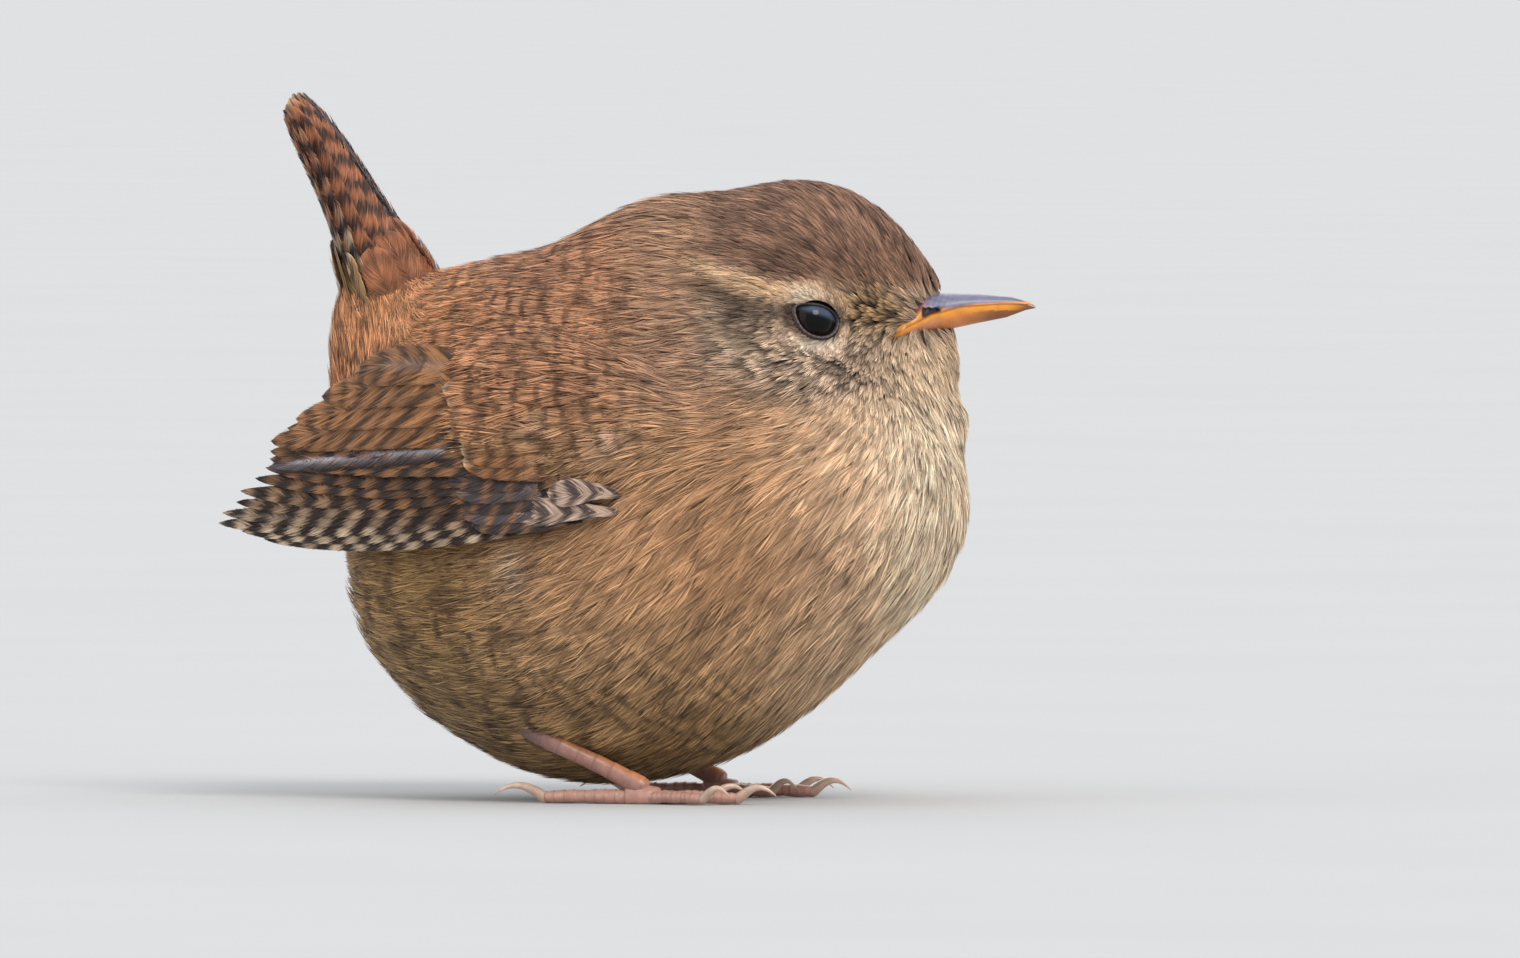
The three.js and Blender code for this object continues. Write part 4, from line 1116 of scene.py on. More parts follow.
class Patchwork:
    """Gathers feathers into one mesh, each layer with its own square of the unwrap."""

    def __init__(self, layers):
        self.parts = []
        self.total = 0
        self.side = math.ceil(math.sqrt(layers))

    def add(self, points, faces, distance, web, vane, colour, sheets):
        cell = UNWRAP_SPAN / self.side
        u0 = UNWRAP_MARGIN + cell * (len(self.parts) % self.side)
        v0 = UNWRAP_MARGIN + cell * (len(self.parts) // self.side)
        full = max(float(distance.max()), 1e-6)
        sheet = np.arange(len(points)) * sheets // len(points)
        width = 0.44 if sheets > 1 else 0.9
        u = u0 + cell * (0.04 + width * np.clip((web + 1) / 2, 0, 1) + 0.48 * sheet)
        v = v0 + cell * (0.04 + 0.92 * np.clip(distance / full, 0, 1))
        self.parts.append((points, faces + self.total, colour, np.stack([u, v], -1), vane))
        self.total += len(points)

    def add_feather(self, feather, rng, columns, splits, barbs, colour_of):
        """Adds a feather's sheet, and then the layer of barbs over it."""
        points, quads, *measures = vane_mesh(feather, rng, columns, splits)
        self.add(points, halved(quads), *measures, colour_of(*measures), 2)
        points, faces, *measures, tone = barb_layer(feather, rng, barbs)
        self.add(points, faces, *measures, colour_of(*measures) * tone[:, None], 1)

    def join(self):
        return [np.concatenate(column) for column in zip(*self.parts)]


def wing_station(x, z, lift):
    step = 0.4
    y = wing_sheet(x, z)
    slope_x = (wing_sheet(x + step, z) - wing_sheet(x - step, z)) / (2 * step)
    slope_z = (wing_sheet(x, z + step) - wing_sheet(x, z - step)) / (2 * step)
    out = unit(np.stack([-slope_x, np.ones_like(x), -slope_z], -1))
    return np.stack([x, y, z], -1) + out * lift[:, None], out


VANE_PALE = srgb(222, 196, 164)
VANE_DARK = srgb(48, 36, 30)
VANE_RUFOUS = srgb(170, 120, 78)
VANE_SLATE = srgb(104, 97, 102)
LONG_SHAFT = srgb(186, 176, 182)
VANE_BROWN = srgb(116, 84, 58)
ALULA_PALE = srgb(192, 166, 146)
ALULA_DARK = srgb(70, 57, 57)
VANE_GREY = srgb(104, 94, 86)
SHAFT_PALE = srgb(150, 130, 118)
WHITE_TIP = srgb(226, 208, 188)
TAIL_RUFOUS = srgb(196, 126, 86)
TAIL_DARK = srgb(58, 44, 42)
COVERT_CREAM = srgb(200, 160, 112)
# Light and dark along the feathers: period, share of it that is light, softness of an edge
CHECKS = {
    "primaries": (3.3, 0.46, 0.08),
    "primaries_inside": (3.3, 0.4, 0.16),
    "secondaries": (3.3, 0.55, 0.12),
    "inner": (3.3, 0.5, 0.16),
    "long_secondary": (3.4, 0.55, 0.16),
    "tertials": (2.7, 0.62, 0.1),
    "primary_coverts": (2.8, 0.34, 0.16),
    "greater_coverts": (2.4, 0.6, 0.12),
    "rectrices": (2.9, 0.54, 0.1),
    "rectrices_outside": (2.9, 0.5, 0.1),
    "upper_coverts": (3.1, 0.64, 0.16),
    "under_coverts": (3.6, 0.6, 0.15),
}


def checker(name, distance, phase, rng=None):
    """1 in the pale part of each period and 0 in the dark part, soft edged and uneven."""
    period, light, soft = CHECKS[name]
    turns = distance / period + phase
    f = turns % 1
    strength = 1.0
    if rng is not None:
        which = np.floor(turns).astype(int) % 64
        strength = (0.55 + 0.45 * rng.random(64))[which]
        f = np.clip(f + (0.1 * (rng.random(64) - 0.5))[which], 0, 1)
    return smooth((f - (1 - light)) / soft + 0.5) * smooth((1 - f) / soft) * strength


def primary_colour(row, wave, distance, web, phase, rng):
    pale = checker("primaries", wave, phase, rng) * smooth((0.6 - web) / 0.25)
    inner = checker("primaries_inside", wave, phase) * smooth((web - 0.3) / 0.2)
    fade = smooth((distance - 18 + 8 * row) / 12)
    tint = paint(VANE_PALE, (VANE_RUFOUS, np.clip(1.7 * row - 0.5 + 0.5 * fade, 0, 1)))
    return paint(VANE_DARK, (tint, pale * (1 - 0.25 * row - 0.2 * fade)), (VANE_BROWN, 0.6 * inner))


def long_colour(wave, distance, web, across, phase, rng):
    """The feather along the closed wing's fold: slate with a pale shaft, barred below it."""
    pale = checker("long_secondary", wave, phase, rng) * smooth((web - 0.1) / 0.2)
    slate = 0.9 * smooth((web + 0.75) / 0.4) * smooth((0.3 - web) / 0.3)
    line = np.exp(-((across / 0.11) ** 2)) * smooth((distance - 1.5) / 3)
    return paint(VANE_DARK, (VANE_SLATE, slate), (VANE_RUFOUS, 0.8 * pale), (LONG_SHAFT, 0.95 * line))


def wing_colour(name, k, count, distance, web, vane):
    rng = np.random.default_rng([SEED, len(name), k])
    phase = 0.5 * k + 0.12 * rng.standard_normal()
    across = vane[:, 1]
    wave = distance + 0.5 * np.abs(across)
    if name == "long_secondary":
        return long_colour(wave, distance, web, across, phase, rng)
    if name == "primaries":
        colour = primary_colour(k / (count - 1), wave, distance, web, phase, rng)
    elif name == "secondaries":
        pale = checker(name, wave, phase, rng)
        colour = paint(VANE_DARK, (VANE_GREY, 0.15), (VANE_RUFOUS, 0.85 * pale))
    elif name == "tertials":
        wander = 0.3 * np.sin(2.2 * across + 0.7 * k) + 0.3 * np.sin(0.9 * distance + 2 * k)
        pale = checker(name, distance + 0.7 * np.abs(across) + wander, phase, rng)
        colour = paint(VANE_DARK * 1.1, (VANE_RUFOUS * 1.22, 0.12 + 0.88 * pale))
    elif name == "primary_coverts":
        pale = checker(name, wave, phase, rng) * smooth((0.3 - web) / 0.3)
        colour = paint(VANE_DARK, (VANE_SLATE, 0.55 if k % 2 else 0.2), (VANE_RUFOUS, 0.85 * pale))
    elif name == "alula":
        wave = distance + 0.7 * np.abs(across)
        blots = np.sin(2.5 * wave + 2.2 * k + 0.7 * np.sign(across))
        blots = blots + 0.6 * np.sin(1.3 * wave + 2 * across)
        colour = paint(ALULA_DARK, (ALULA_PALE, 0.05 + 0.95 * smooth(0.55 + 1.6 * blots)))
    elif name == "greater_coverts":
        pale = checker(name, wave, phase, rng)
        edge = smooth((0.8 - distance) / 0.5)
        colour = paint(VANE_DARK * 1.2, (VANE_RUFOUS, 0.22 + 0.78 * pale), (VANE_PALE, 0.6 * edge))
    else:
        colour = paint(VANE_DARK * 1.4, (VANE_BROWN, 0.3 + 0.7 * checker(name, wave, phase)))
    near_shaft = np.exp(-((across - WING_VANES[name][1] * 0.9) / 0.09) ** 2)
    colour = paint(colour, (SHAFT_PALE if k % 4 == 3 else colour * 0.55, 0.5 * near_shaft))
    return colour * (1 + 0.08 * rng.standard_normal())


def wing_feather(name, k):
    """The k-th feather of a tier of the left wing."""
    count, roots, tips, half, lift, sag, root_lift = WING_TIERS[name]
    share = k / max(count - 1, 1)
    (ax, az), (bx, bz) = [mix(*np.array(ends, float), share).tolist() for ends in (roots, tips)]
    wander = LENGTH_WANDER * math.sin(2.4 * k + count)
    short = OUTER_PRIMARY_SHORTFALL[k] if name == "primaries" and k < 3 else 0
    reach = 1 + (wander - short) / math.hypot(bx - ax, bz - az)
    t = np.linspace(0, 1, 64 if name in LONG_TIERS else 34)
    x = ax + (bx - ax) * reach * t
    z = az + (bz - az) * reach * t - 4 * sag * t * (1 - t)
    raised = root_lift + (lift - root_lift) * np.minimum(3 * t, 1)
    return Feather(*wing_station(x, z, raised), half * WING_VANE_SCALE, *WING_VANES[name])


def build_wings(material):
    rng = np.random.default_rng(SEED + 1)
    patchwork = Patchwork(2 * sum(tier[0] for tier in WING_TIERS.values()))
    for name, (count, *_) in WING_TIERS.items():
        columns, splits, barbs = (13, 6, 200) if name in LONG_TIERS else (11, 3, 84)
        for k in range(count):
            colour_of = partial(wing_colour, name, k, count)
            patchwork.add_feather(wing_feather(name, k), rng, columns, splits, barbs, colour_of)
    points, faces, colour, uv, vane = patchwork.join()
    make_piece("wing_feathers_left", points, faces, material, colour, uv=uv,
               vane=vane, replaces=("wing_left",))
    make_piece("wing_feathers_right", points * np.array([1.0, -1, 1]), faces[:, ::-1], material,
               colour, uv=uv, vane=vane, replaces=("wing_right",))


def tail_station(t, turn, lift):
    run = TAIL_TIP - TAIL_BASE
    forward = unit(np.array([run[2], 0, -run[0]]))
    deep = along(TAIL_HALF_DEPTHS, t)[:, None]
    wide = along(TAIL_HALF_WIDTHS, t)[:, None]
    y = np.array([0.0, 1, 0])
    out = unit(forward * math.cos(turn) / deep + y * math.sin(turn) / wide)
    bow = TAIL_BOW * 4 * np.clip(t * (1 - t), 0, 1)[:, None]
    at = TAIL_BASE + run * t[:, None] + y * wide * math.sin(turn)
    at = at + forward * (deep * math.cos(turn) + bow)
    return at + out * lift[:, None], out


def tail_colour(name, k, side, distance, web, vane):
    rng = np.random.default_rng([SEED, len(name), k, side + 1])
    across = vane[:, 1]
    wave = distance + 0.2 * np.abs(across) + 0.3 * np.sin(2.4 * across + k)
    phase = 0.4 * k + 0.2 * side + 0.1 * rng.standard_normal()
    outside = name == "rectrices" and k >= 4
    pale = checker("rectrices_outside" if outside else name, wave, phase, rng)
    if outside:
        tint = paint(TAIL_RUFOUS, (VANE_PALE, 0.25 + 0.65 * smooth((distance - 11) / 4)))
        colour = paint(TAIL_DARK * 0.8, (tint, 0.9 * pale))
    elif name == "under_coverts":
        oval = (1 - pale) * np.exp(-((web / 0.6) ** 4))
        edge = smooth((1.0 - distance) / 0.5)
        colour = paint(COVERT_CREAM, (TAIL_DARK, 0.95 * oval), (WHITE_TIP, 0.9 * edge))
    elif name == "upper_coverts":
        colour = paint(TAIL_DARK, (TAIL_RUFOUS * 0.9, 0.5 + 0.5 * pale))
    else:
        ridge = 0.8 * smooth((web * side - 0.05) / 0.3) if k == 0 else 0 * web
        tint = paint(TAIL_RUFOUS, (VANE_SLATE * 1.2, ridge))
        edge = smooth((0.7 - distance) / 0.5)
        colour = paint(TAIL_DARK, (tint, 0.06 + 0.94 * pale), (VANE_SLATE, 0.6 * ridge),
                       (VANE_PALE, 0.6 * edge))
    near_shaft = np.exp(-((across / 0.1) ** 2))
    return paint(colour, (colour * 0.5, 0.6 * near_shaft)) * (1 + 0.06 * rng.standard_normal())


def build_tail(material):
    rng = np.random.default_rng(SEED + 2)
    patchwork = Patchwork(4 * sum(len(tier[0]) for tier in TAIL_TIERS.values()))
    for name, (turns, start, ends, half, lift) in TAIL_TIERS.items():
        share = np.linspace(0, 1, 60 if name == "rectrices" else 36)
        raised = lift * np.minimum(3 * share, 1) - TAIL_ROOT_LIFT * np.maximum(1 - 3 * share, 0)
        for (k, (turn, end)), side in product(enumerate(zip(turns, ends)), (-1, 1)):
            at, out = tail_station(start + (end - start) * share, side * math.radians(turn), raised)
            feather = Feather(at, out, half * TAIL_VANE_SCALE, -side * TAIL_VANE_TILT, 0.0, TAIL_TAPER,
                              ROOT_WIDTH)
            patchwork.add_feather(feather, rng, 13, 6, 130, partial(tail_colour, name, k, side))
    points, faces, colour, uv, vane = patchwork.join()
    make_piece("tail_feathers", points, faces, material, colour, uv=uv,
               vane=vane, replaces=("tail",))


# Tubes for legs, toes, claws and lids
def tube(path, radii, sides, closed=False, shape=1.0, up=(0.0, 0, 1)):
    """A round bar along a path, closed at its ends if it isn't a ring: points and triangles."""
    path = np.asarray(path, float)
    rings = len(path)
    run = np.roll(path, -1, 0) - np.roll(path, 1, 0) if closed else np.gradient(path, axis=0)
    run = unit(run)
    up = np.broadcast_to(np.asarray(up, float), path.shape)
    high = unit(up - (up * run).sum(1, keepdims=True) * run)
    side = np.cross(run, high)
    turn = 2 * math.pi * np.arange(sides) / sides
    radii = radii[:, None] * np.ones((1, sides)) * shape
    around = high[:, None] * np.cos(turn)[None, :, None] + side[:, None] * np.sin(turn)[None, :, None]
    points = (path[:, None] + around * radii[..., None]).reshape(-1, 3)
    a, b = np.meshgrid(np.arange(rings if closed else rings - 1), np.arange(sides), indexing="ij")
    n, m = (a + 1) % rings, (b + 1) % sides
    quads = np.stack([a * sides + b, a * sides + m, n * sides + m, n * sides + b], -1)
    faces = halved(quads.reshape(-1, 4))
    if not closed:
        points = np.concatenate([points, path[:1], path[-1:]])
        k = np.arange(sides)
        after = (k + 1) % sides
        last = (rings - 1) * sides
        start = np.stack([after, k, np.full(sides, rings * sides)], -1)
        end = np.stack([last + k, last + after, np.full(sides, rings * sides + 1)], -1)
        faces = np.concatenate([faces, start, end])
    return points, faces


def on_tube(along_path, sides, ends=(0, 1)):
    """A measure along a tube's path, at each of its points."""
    return np.append(np.repeat(along_path, sides), ends)


def join_parts(parts):
    points, faces, colours, total = [], [], [], 0
    for p, f, c in parts:
        points.append(p)
        faces.append(f + total)
        colours.append(np.broadcast_to(c, p.shape))
        total += len(p)
    return np.concatenate(points), np.concatenate(faces), np.concatenate(colours)


LEG_BROWN = srgb(160, 118, 106)
LEG_PINK = srgb(184, 140, 124)
LEG_ORANGE = srgb(206, 136, 80)
# Painted shade where the leg goes into the belly feathers
LEG_PAINTED_SHADE = srgb(96, 70, 68)
CLAW_PINK = srgb(212, 184, 164)
CLAW_ROOT = srgb(150, 112, 92)
CLAW_TIP = srgb(120, 96, 84)


def scuted(t, sides, count, rise):
    """Scutes over the top of a leg or toe: each overlaps the next with a small step."""
    turn = 2 * math.pi * np.arange(sides) / sides
    saw = 1 - (t[:, None] * count) % 1
    return 1 + rise * (saw - 0.5) * smooth((np.cos(turn)[None] + 0.25) / 0.6)


def scute_lines(t, sides, count, edge, over):
    """The darker line between each scute and the next."""
    return (1 - 0.3 * smooth((edge - (on_tube(t, sides) * count) % 1) / over))[:, None]


def build_tarsus(side_name, sign, material):
    t = np.linspace(TARSUS_FROM, TARSUS_TO, 120)
    path = HEEL + (ANKLE - HEEL) * t[:, None]
    path[:, 1] += LEG_OUT * np.exp(-(((t - 0.3) / 0.3) ** 2)) - HEEL_IN * smooth((0.14 - t) / 0.34)
    path[:, 2] = np.maximum(path[:, 2], 1.5)
    path = path * sign
    shape = scuted(t, TARSUS_SIDES, TARSUS_SCUTES, 0.06)
    points, faces = tube(path, along(TARSUS_RADII, t), TARSUS_SIDES, shape=shape)
    high = smooth((points[:, 2] - np.interp(points[:, 0], path[:, 0], path[:, 2])) / 1.0)
    down = on_tube(t, TARSUS_SIDES, (TARSUS_FROM, TARSUS_TO))
    # Darker towards the top, where the leg goes into the feathers: painted shade
    colour = paint(LEG_BROWN, (LEG_ORANGE, 0.6 * high * smooth((down - 0.1) / 0.4)),
                   (LEG_PAINTED_SHADE, 0.85 * smooth((0.42 - down) / 0.3)))
    lines = scute_lines(t, TARSUS_SIDES, TARSUS_SCUTES, 0.12, 0.1)
    make_piece(f"tarsus_{side_name}", points, faces, material, colour * lines,
               replaces=(f"leg_{side_name}",))


def grounded(tube_parts, least):
    """A tube with no point lower than the least height."""
    points, faces = tube_parts
    points[:, 2] = np.maximum(points[:, 2], least)
    return points, faces


def ball_of_foot(sign):
    back, ahead = [np.array([ANKLE[0] + x, ANKLE[1], TOE_HEIGHT + 0.15]) * sign for x in (-1.7, 1.7)]
    path = np.array([back + (ahead - back) * i / 12 for i in range(13)])
    return grounded(tube(path, 0.75 + 0.4 * np.sin(np.linspace(0.3, 2.7, 13)), TOE_SIDES), 0.02)


def toe(origin, run, length, radius, pads):
    """One toe: its points, triangles and colours."""
    t = np.linspace(0, 1, 70)
    path = origin + run * (length * t)[:, None]
    path[:, 2] += 0.12 * np.sin(math.pi * t)
    radii = radius * (1 - 0.22 * t) * (0.84 + 0.16 * np.abs(np.sin(math.pi * pads * t)))
    shape = scuted(t, TOE_SIDES, 4 * pads, 0.12)
    points, faces = grounded(tube(path, radii, TOE_SIDES, shape=shape), 0.02)
    colour = paint(LEG_PINK, (LEG_BROWN, 0.5 * smooth((1.0 - points[:, 2]) / 0.8)))
    return points, faces, colour * scute_lines(t, TOE_SIDES, 4 * pads, 0.16, 0.12)


def build_legs(leg_material, claw_material):
    for side_name, side in (("right", -1), ("left", 1)):
        sign = np.array([1.0, side, 1])
        build_tarsus(side_name, sign, leg_material)
        parts = [(*ball_of_foot(sign), LEG_PINK)]
        for number, (start, heading, length, radius, claw, pads) in enumerate(TOES.values(), 1):
            angle = math.radians(heading)
            run = np.array([math.cos(angle), side * math.sin(angle), 0])
            origin = np.array([ANKLE[0], side * ANKLE[1], TOE_HEIGHT]) + run * start
            parts.append(toe(origin, run, length, radius, pads))
            build_claw(f"{side_name}_{number}", origin + run * length, run, radius, claw, claw_material)
        points, faces, colours = join_parts(parts)
        make_piece(f"toes_{side_name}", points, faces, leg_material, colours,
                   replaces=(f"foot_{side_name}",))


def build_claw(which, end, run, radius, claw, material):
    t = np.linspace(-0.12, 1, 40)
    ahead = np.maximum(t, 0)
    arch = 1.25 * np.sin(math.pi * 0.86 * ahead) - 0.34 * ahead**2
    path = end + run * (0.1 + claw * t)[:, None]
    path[:, 2] = np.maximum(TOE_HEIGHT + arch, 0.06)
    base = radius * 0.72
    radii = base + (0.03 - base) * ahead**1.2
    turn = 2 * math.pi * np.arange(CLAW_SIDES) / CLAW_SIDES
    shape = 1 - 0.16 * np.abs(np.sin(turn))[None]
    points, faces = grounded(tube(path, radii, CLAW_SIDES, shape=shape), 0.01)
    down = on_tube(ahead, CLAW_SIDES)
    colour = paint(CLAW_PINK, (CLAW_ROOT, 0.55 * (1 - down) ** 2),
                   (CLAW_TIP, 0.5 * smooth((down - 0.8) / 0.2)))
    make_piece(f"claw_horn_{which}", points, faces, material, colour,
               replaces=(f"claw_{which}",))


# Eyes and lids
EYE_GLINT = srgb(72, 83, 102)
EYE_BLACK = srgb(14, 11, 10)
EYE_BROWN = srgb(30, 20, 15)
EYE_PUPIL = srgb(3, 3, 4)
LID_GREY = srgb(84, 74, 72)
LID_DARK = srgb(26, 22, 22)
LID_BROWN = srgb(84, 62, 62)
LID_EDGE = srgb(22, 18, 18)


def build_eyes(eye_shader, lid_shader):
    d, faces = ball(6)
    for side_name, (_, normal, centre) in EYES.items():
        facing = d @ normal
        bulge = 1 + 0.03 * smooth((facing - 0.75) / 0.25)
        points = centre + d * (EYE_RADIUS * bulge)[:, None]
        upward = d @ eye_axes(normal)[1]
        colour = paint(
            EYE_BLACK,
            (EYE_BROWN, smooth((facing - 0.55) / 0.05) * 0.8),
            (EYE_PUPIL, smooth((facing - 0.86) / 0.02)),
            (EYE_GLINT, 0.85 * smooth((upward - 0.06) / 0.22) * smooth((0.62 - upward) / 0.2)),
        )
        make_piece(f"eyeball_{side_name}", points, faces, eye_shader, colour,
                   replaces=(f"eye_{side_name}",))
        build_lids(side_name, lid_shader)


def lid_outline(turn, by=0.0):
    """The rim of the opening, in the plane of the eye: an almond with its corner to the rear."""
    rear = np.maximum(-np.cos(turn), 0) ** 6
    flat = 1 - 0.22 * smooth((np.sin(turn) - 0.2) / 0.8)
    long = (LID_HALF_LENGTH + by) * np.cos(turn) - LID_CORNER * rear
    tall = (LID_HALF_HEIGHT + by) * np.sin(turn) * flat + LID_CORNER * rear
    return long, tall


def on_lids(side_name, turn, by, level):
    """Places round the eye, a step outside its opening, on the mound that the lids make."""
    surface, normal, _ = EYES[side_name]
    ahead, high = eye_axes(normal)
    long, tall = lid_outline(turn, by)
    p = surface + ahead * long[:, None] + high * tall[:, None]
    for _ in range(6):
        p = p - normal * (field(p, COAT_FORM) - level)[:, None]
    return p


def build_lids(side_name, material):
    turn = 2 * math.pi * np.arange(LID_STEPS) / LID_STEPS
    upper = smooth((np.sin(turn) - 0.1) / 0.5)
    grey = paint(LID_GREY, (LID_DARK, 0.95 * upper),
                 (LID_BROWN, 0.7 * smooth((-np.cos(turn) - 0.7) / 0.3)))
    rows = [on_lids(side_name, turn, by, level) for by, level in LID_RINGS]
    tints = [np.tile(LID_EDGE, (LID_STEPS, 1))] * 2 + [grey] * 2
    # Rows outside the rim take the coat's colour darkened to 0.6: painted shade under the rim's
    # feathers
    tints += [tract(row)[0] * 0.6 for row in rows[4:]]
    i, j = np.meshgrid(np.arange(len(rows) - 1), np.arange(LID_STEPS), indexing="ij")
    a, b = (i * LID_STEPS + j).ravel(), (i * LID_STEPS + (j + 1) % LID_STEPS).ravel()
    shell = halved(np.stack([a, b, b + LID_STEPS, a + LID_STEPS], -1))
    if side_name == "left":
        shell = shell[:, ::-1]
    path = on_lids(side_name, turn, 0.12, -0.1)
    bead = np.abs(np.sin(turn * 13))
    radii = (0.11 - 0.03 * upper) * (0.8 + 0.35 * bead**0.7 * (1 - 0.6 * upper))
    ring, ring_faces = tube(path, radii, 12, closed=True, up=normal_of(path))
    ring_tint = np.repeat(grey * (0.55 + 0.55 * bead)[:, None], 12, 0)
    lid = (np.concatenate(rows), shell, np.concatenate(tints))
    points, faces, colour = join_parts([lid, (ring, ring_faces, ring_tint)])
    make_piece(f"lids_{side_name}", points, faces, material, colour)


# Bill
BILL_SLATE = srgb(108, 106, 128)
BILL_SLATE_TIP = srgb(96, 84, 96)
BILL_ORANGE = srgb(226, 146, 46)
BILL_ROOT = srgb(168, 88, 44)
# Painted shade in the nostril's hollow
NOSTRIL_SHADE = srgb(18, 13, 13)
BILL_YELLOW = srgb(230, 150, 44)
BILL_UNDER = srgb(206, 126, 64)
BILL_PINK = srgb(216, 150, 118)
BILL_SHADE = srgb(112, 66, 34)
BILL_TIP_BROWN = srgb(98, 62, 40)
# Painted shade in the crease along the closed mouth
MOUTH_CREASE_SHADE = srgb(120, 66, 30)


def mandible(outer, sign, last, keel):
    """A mandible's outside, its flat inside and its tip's height, in the head's frame."""
    x = BILL_ROOT_X + (last - BILL_ROOT_X) * np.linspace(0, 1, BILL_STATIONS)
    mouth = along(COMMISSURE, x) - sign * MANDIBLE_OVERLAP
    depth = np.maximum(np.abs(along(outer, x) - mouth), 0.05)
    turn = np.linspace(0, math.pi, BILL_ARC)
    y = along(BILL_HALF_WIDTHS, x)[:, None] * np.cos(turn)[None]
    z = mouth[:, None] + sign * depth[:, None] * np.sin(turn)[None] ** keel
    wide = [np.broadcast_to(v[:, None], y.shape) for v in (x, mouth)]
    return np.stack([wide[0], y, z], -1), np.stack([wide[0], y, wide[1]], -1)


def mandible_faces(apex):
    """The faces of a mandible's two sheets and the rim between them, drawn to its tip."""
    sheet = BILL_STATIONS * BILL_ARC
    grid = grid_faces(BILL_STATIONS, BILL_ARC)
    body = grid[~((grid % sheet // BILL_ARC == BILL_STATIONS - 1).all(1))]
    k = (BILL_STATIONS - 1) * BILL_ARC + np.arange(BILL_ARC - 1)
    tip = np.full(BILL_ARC - 1, apex)
    cap = np.stack([k, k + 1, tip], -1)
    under = np.stack([k + 1 + sheet, k + sheet, tip], -1)
    return np.concatenate([halved(body), cap, under])


def build_bill(material):
    for side_name, outer, sign, last, keel, tip_up in (
        ("upper", CULMEN, 1, 31.2, 0.9, 0.02),
        ("lower", GONYS, -1, 31.0, 1.0, -0.1),
    ):
        outside, inside = mandible(outer, sign, last, keel)
        if sign > 0:
            carve_nostrils(outside)
        tip = [[BILL_TIP[0], 0, BILL_TIP[1] + tip_up]]
        points = np.concatenate([outside.reshape(-1, 3), inside.reshape(-1, 3), tip])
        world = from_head(points)
        hidden = smooth((along(FEATHERS_REACH, points[:, 2]) - 0.1 - points[:, 0]) / 0.7)
        sink = np.maximum(field(world) + 0.6, 0) * hidden
        world = world - normal_of(world) * sink[:, None]
        colour = upper_bill_colour(points) if sign > 0 else lower_bill_colour(points)
        mouth = along(COMMISSURE, points[:, 0])
        # A dark band along the mouth line: painted shade in the crease between the mandibles
        edge = smooth((0.12 - np.abs(points[:, 2] - mouth)) / 0.08)
        make_piece(f"bill_{side_name}_horn", world, mandible_faces(len(points) - 1), material,
                   paint(colour, (MOUTH_CREASE_SHADE, 0.75 * edge)),
                   replaces=(f"bill_{side_name}",), sharp=55)


def nostril_share(x, z):
    """1 in the wedge of the nostril, which narrows towards the tip, and 0 outside it."""
    top = NOSTRIL_AT[1] + 0.12
    bottom = np.minimum(NOSTRIL_AT[1] - 0.8 + 0.46 * (x - NOSTRIL_AT[0] + 0.9), top)
    tall = smooth((top - z) / 0.16) * smooth((z - bottom) / 0.16)
    return tall * smooth((x - NOSTRIL_AT[0] + 1.5) / 0.2) * smooth((NOSTRIL_AT[0] + 1.0 - x) / 0.3)


def carve_nostrils(h):
    hollow = nostril_share(h[..., 0], h[..., 2])
    h[..., 1] -= np.sign(h[..., 1]) * 0.5 * hollow * (np.abs(h[..., 1]) > 0.5)


def upper_bill_colour(h):
    x, y, z = h[:, 0], np.abs(h[:, 1]), h[:, 2]
    flecks = np.sin(7 * x + 3 * z) * np.sin(9 * z - 4 * x) * smooth((24.5 - x) / 2)
    root = 0.5 * smooth((21.5 - x) / 1) * smooth((z - along(COMMISSURE, x) - 0.3) / 0.4)
    return paint(
        BILL_SLATE * (1 + 0.25 * flecks[:, None]),
        (BILL_SLATE_TIP, 0.6 * smooth((x - 28.5) / 3)),
        (BILL_ORANGE, 0.97 * smooth((along(SLATE_FROM, x) - z) / 0.22)),
        (BILL_ROOT, root),
        # The nostril's wedge is painted near black: painted shade in its hollow
        (NOSTRIL_SHADE, np.clip(1.5 * nostril_share(x, z), 0, 1) * (y > 0.4)),
    )


def lower_bill_colour(h):
    x = h[:, 0]
    below = along(COMMISSURE, x) - h[:, 2]
    dark = smooth((x - 24.5 - 3.5 * (below < 0.6)) / 4) * smooth((below - 0.2) / 0.5)
    return paint(
        BILL_YELLOW,
        (BILL_UNDER, smooth((below - 0.25) / 1.0)),
        (BILL_PINK, smooth((23.5 - x) / 4) * smooth((below - 0.2) / 0.6)),
        (BILL_SHADE, 0.85 * dark),
        (BILL_TIP_BROWN, smooth((x - 29.5) / 2)),
    )


# Stage, lights and camera
SKY_LOW = (0.72, 0.725, 0.735)
SKY_HIGH = (1.1, 1.16, 1.26)
FLOOR_HALF = 60.0
# Each light: direction, spread in degrees, power, tint
SUNS = {
    "key": ((0.55, -0.6, 0.75), 26, 1.8, (1.0, 0.95, 0.88)),
    "fill": ((-0.75, -0.9, 0.4), 50, 0.3, (0.97, 0.98, 1.0)),
    "back": ((-0.5, 0.9, 0.6), 40, 0.5, (1.0, 0.99, 0.97)),
}


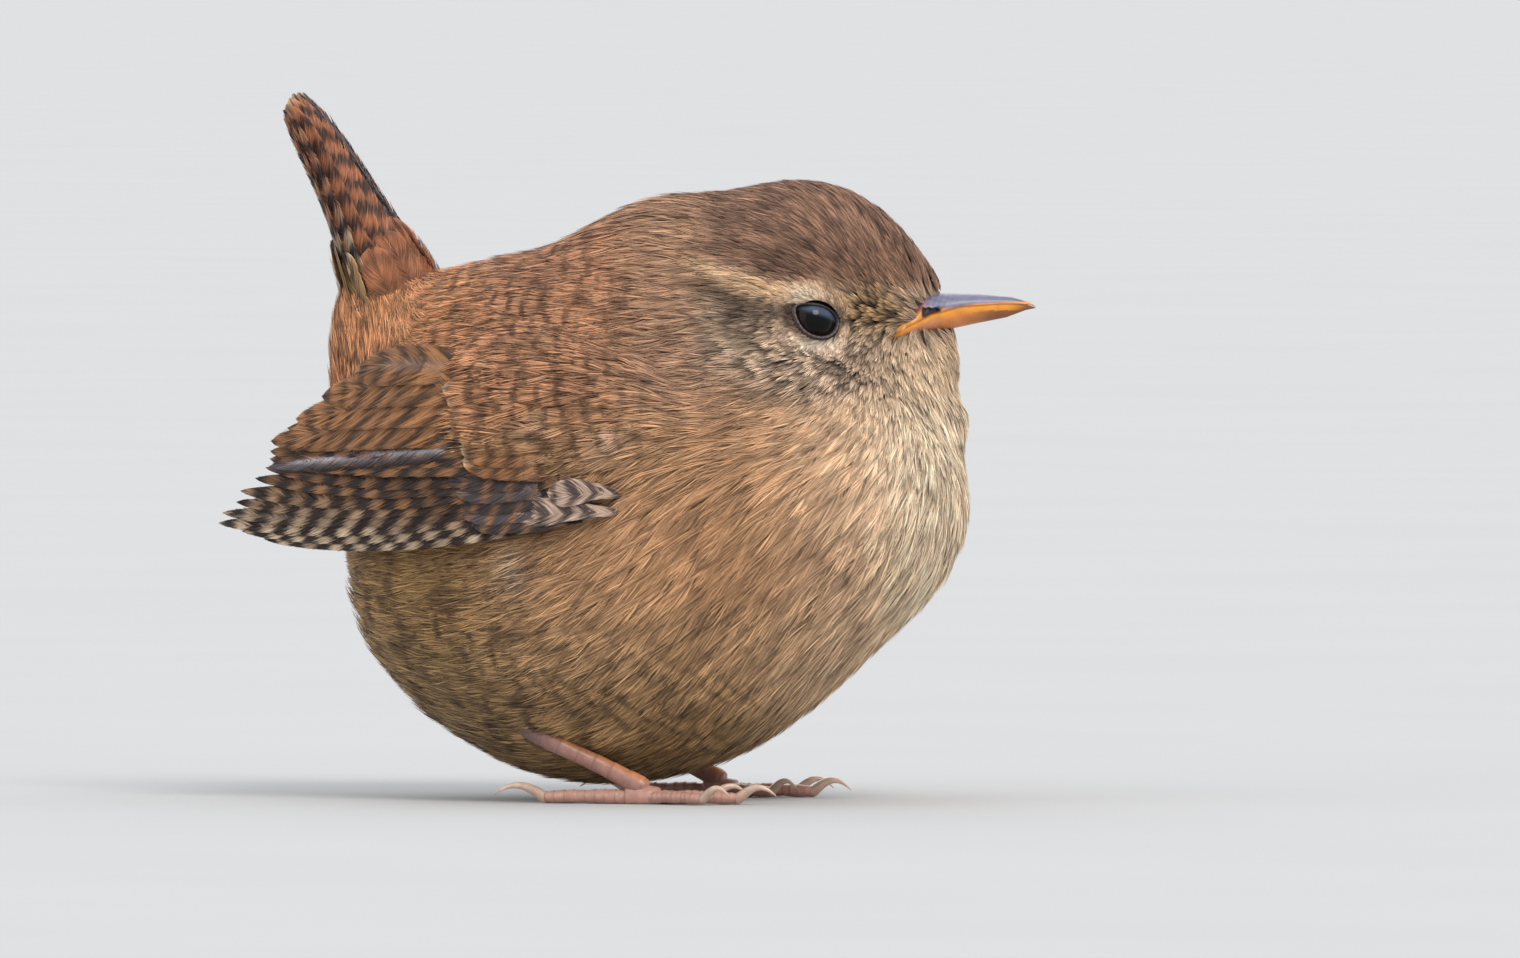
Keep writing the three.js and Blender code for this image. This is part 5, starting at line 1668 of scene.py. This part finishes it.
def build_stage():
    mesh = bpy.data.meshes.new("studio_floor")
    corners = [(x * FLOOR_HALF, y * FLOOR_HALF, 0) for x, y in ((-1, -1), (1, -1), (1, 1), (-1, 1))]
    mesh.from_pydata(corners, [], [(0, 1, 2, 3)])
    mesh.materials.append(floor_material())
    floor = link_object("studio_floor", mesh)
    world = bpy.data.worlds.new("studio")
    world.use_nodes = True
    tree = world.node_tree
    height = wire(tree, "SeparateXYZ", "Z", Vector=wire(tree, "TexCoord", "Generated"))
    feed(tree, tree.nodes["Background"], "Color", ramp(tree, height, SKY_LOW, SKY_HIGH))
    bpy.context.scene.world = world
    bpy.context.scene.view_settings.view_transform = "Standard"


def build_lights():
    for name, (towards, spread, power, tint) in SUNS.items():
        light = bpy.data.lights.new(name, "SUN")
        light.energy = power
        light.color = tint
        light.angle = math.radians(spread)
        lamp = link_object(name, light)
        lamp.location = towards
        lamp.rotation_euler = Vector(towards).to_track_quat("Z", "Y").to_euler()


def build_camera():
    camera = bpy.data.cameras.new("camera")
    camera.sensor_width = SENSOR
    camera.lens = SENSOR * CAMERA_DISTANCE / CAMERA_VIEW_WIDTH
    camera.clip_start = 0.1
    camera.clip_end = 200
    c, s = math.cos(CAMERA_AZIMUTH), math.sin(CAMERA_AZIMUTH)
    aim = np.array([CAMERA_AIM[0] * c, CAMERA_AIM[0] * s, CAMERA_AIM[1]])
    e = CAMERA_ELEVATION
    back = np.array([s * math.cos(e), -c * math.cos(e), math.sin(e)])
    eye = link_object("camera", camera)
    eye.location = to_frame(aim + back * CAMERA_DISTANCE).tolist()
    eye.rotation_euler = Vector(-back).to_track_quat("-Z", "Y").to_euler()
    bpy.context.scene.camera = eye


build_camera()
build_stage()
build_lights()
coat_shader = plumage_material("plumage_coat", 0.62, 420)
add_bars(coat_shader)
vane_shader = plumage_material("plumage_vanes", 0.5, 500, barbs=1.6)
leg_shader = horn_material("leg_scales", 0.42, 1500, 0.00006, 0.15, 0.15)
claw_shader = horn_material("claw_horn", 0.25, 1200, 0.00002, 0.3, 0.3)
surface, faces = build_skin(plumage_material("plumage_skin", 0.8, 700))
build_coat(surface, faces, coat_shader)
build_wings(vane_shader)
build_tail(vane_shader)
build_legs(leg_shader, claw_shader)
build_eyes(eye_material(), horn_material("lid_skin", 0.5, 1800, 0.00003, 0.1))
build_bill(horn_material("bill_horn", 0.42, 900, 0.00002, 0.15, 0.1))
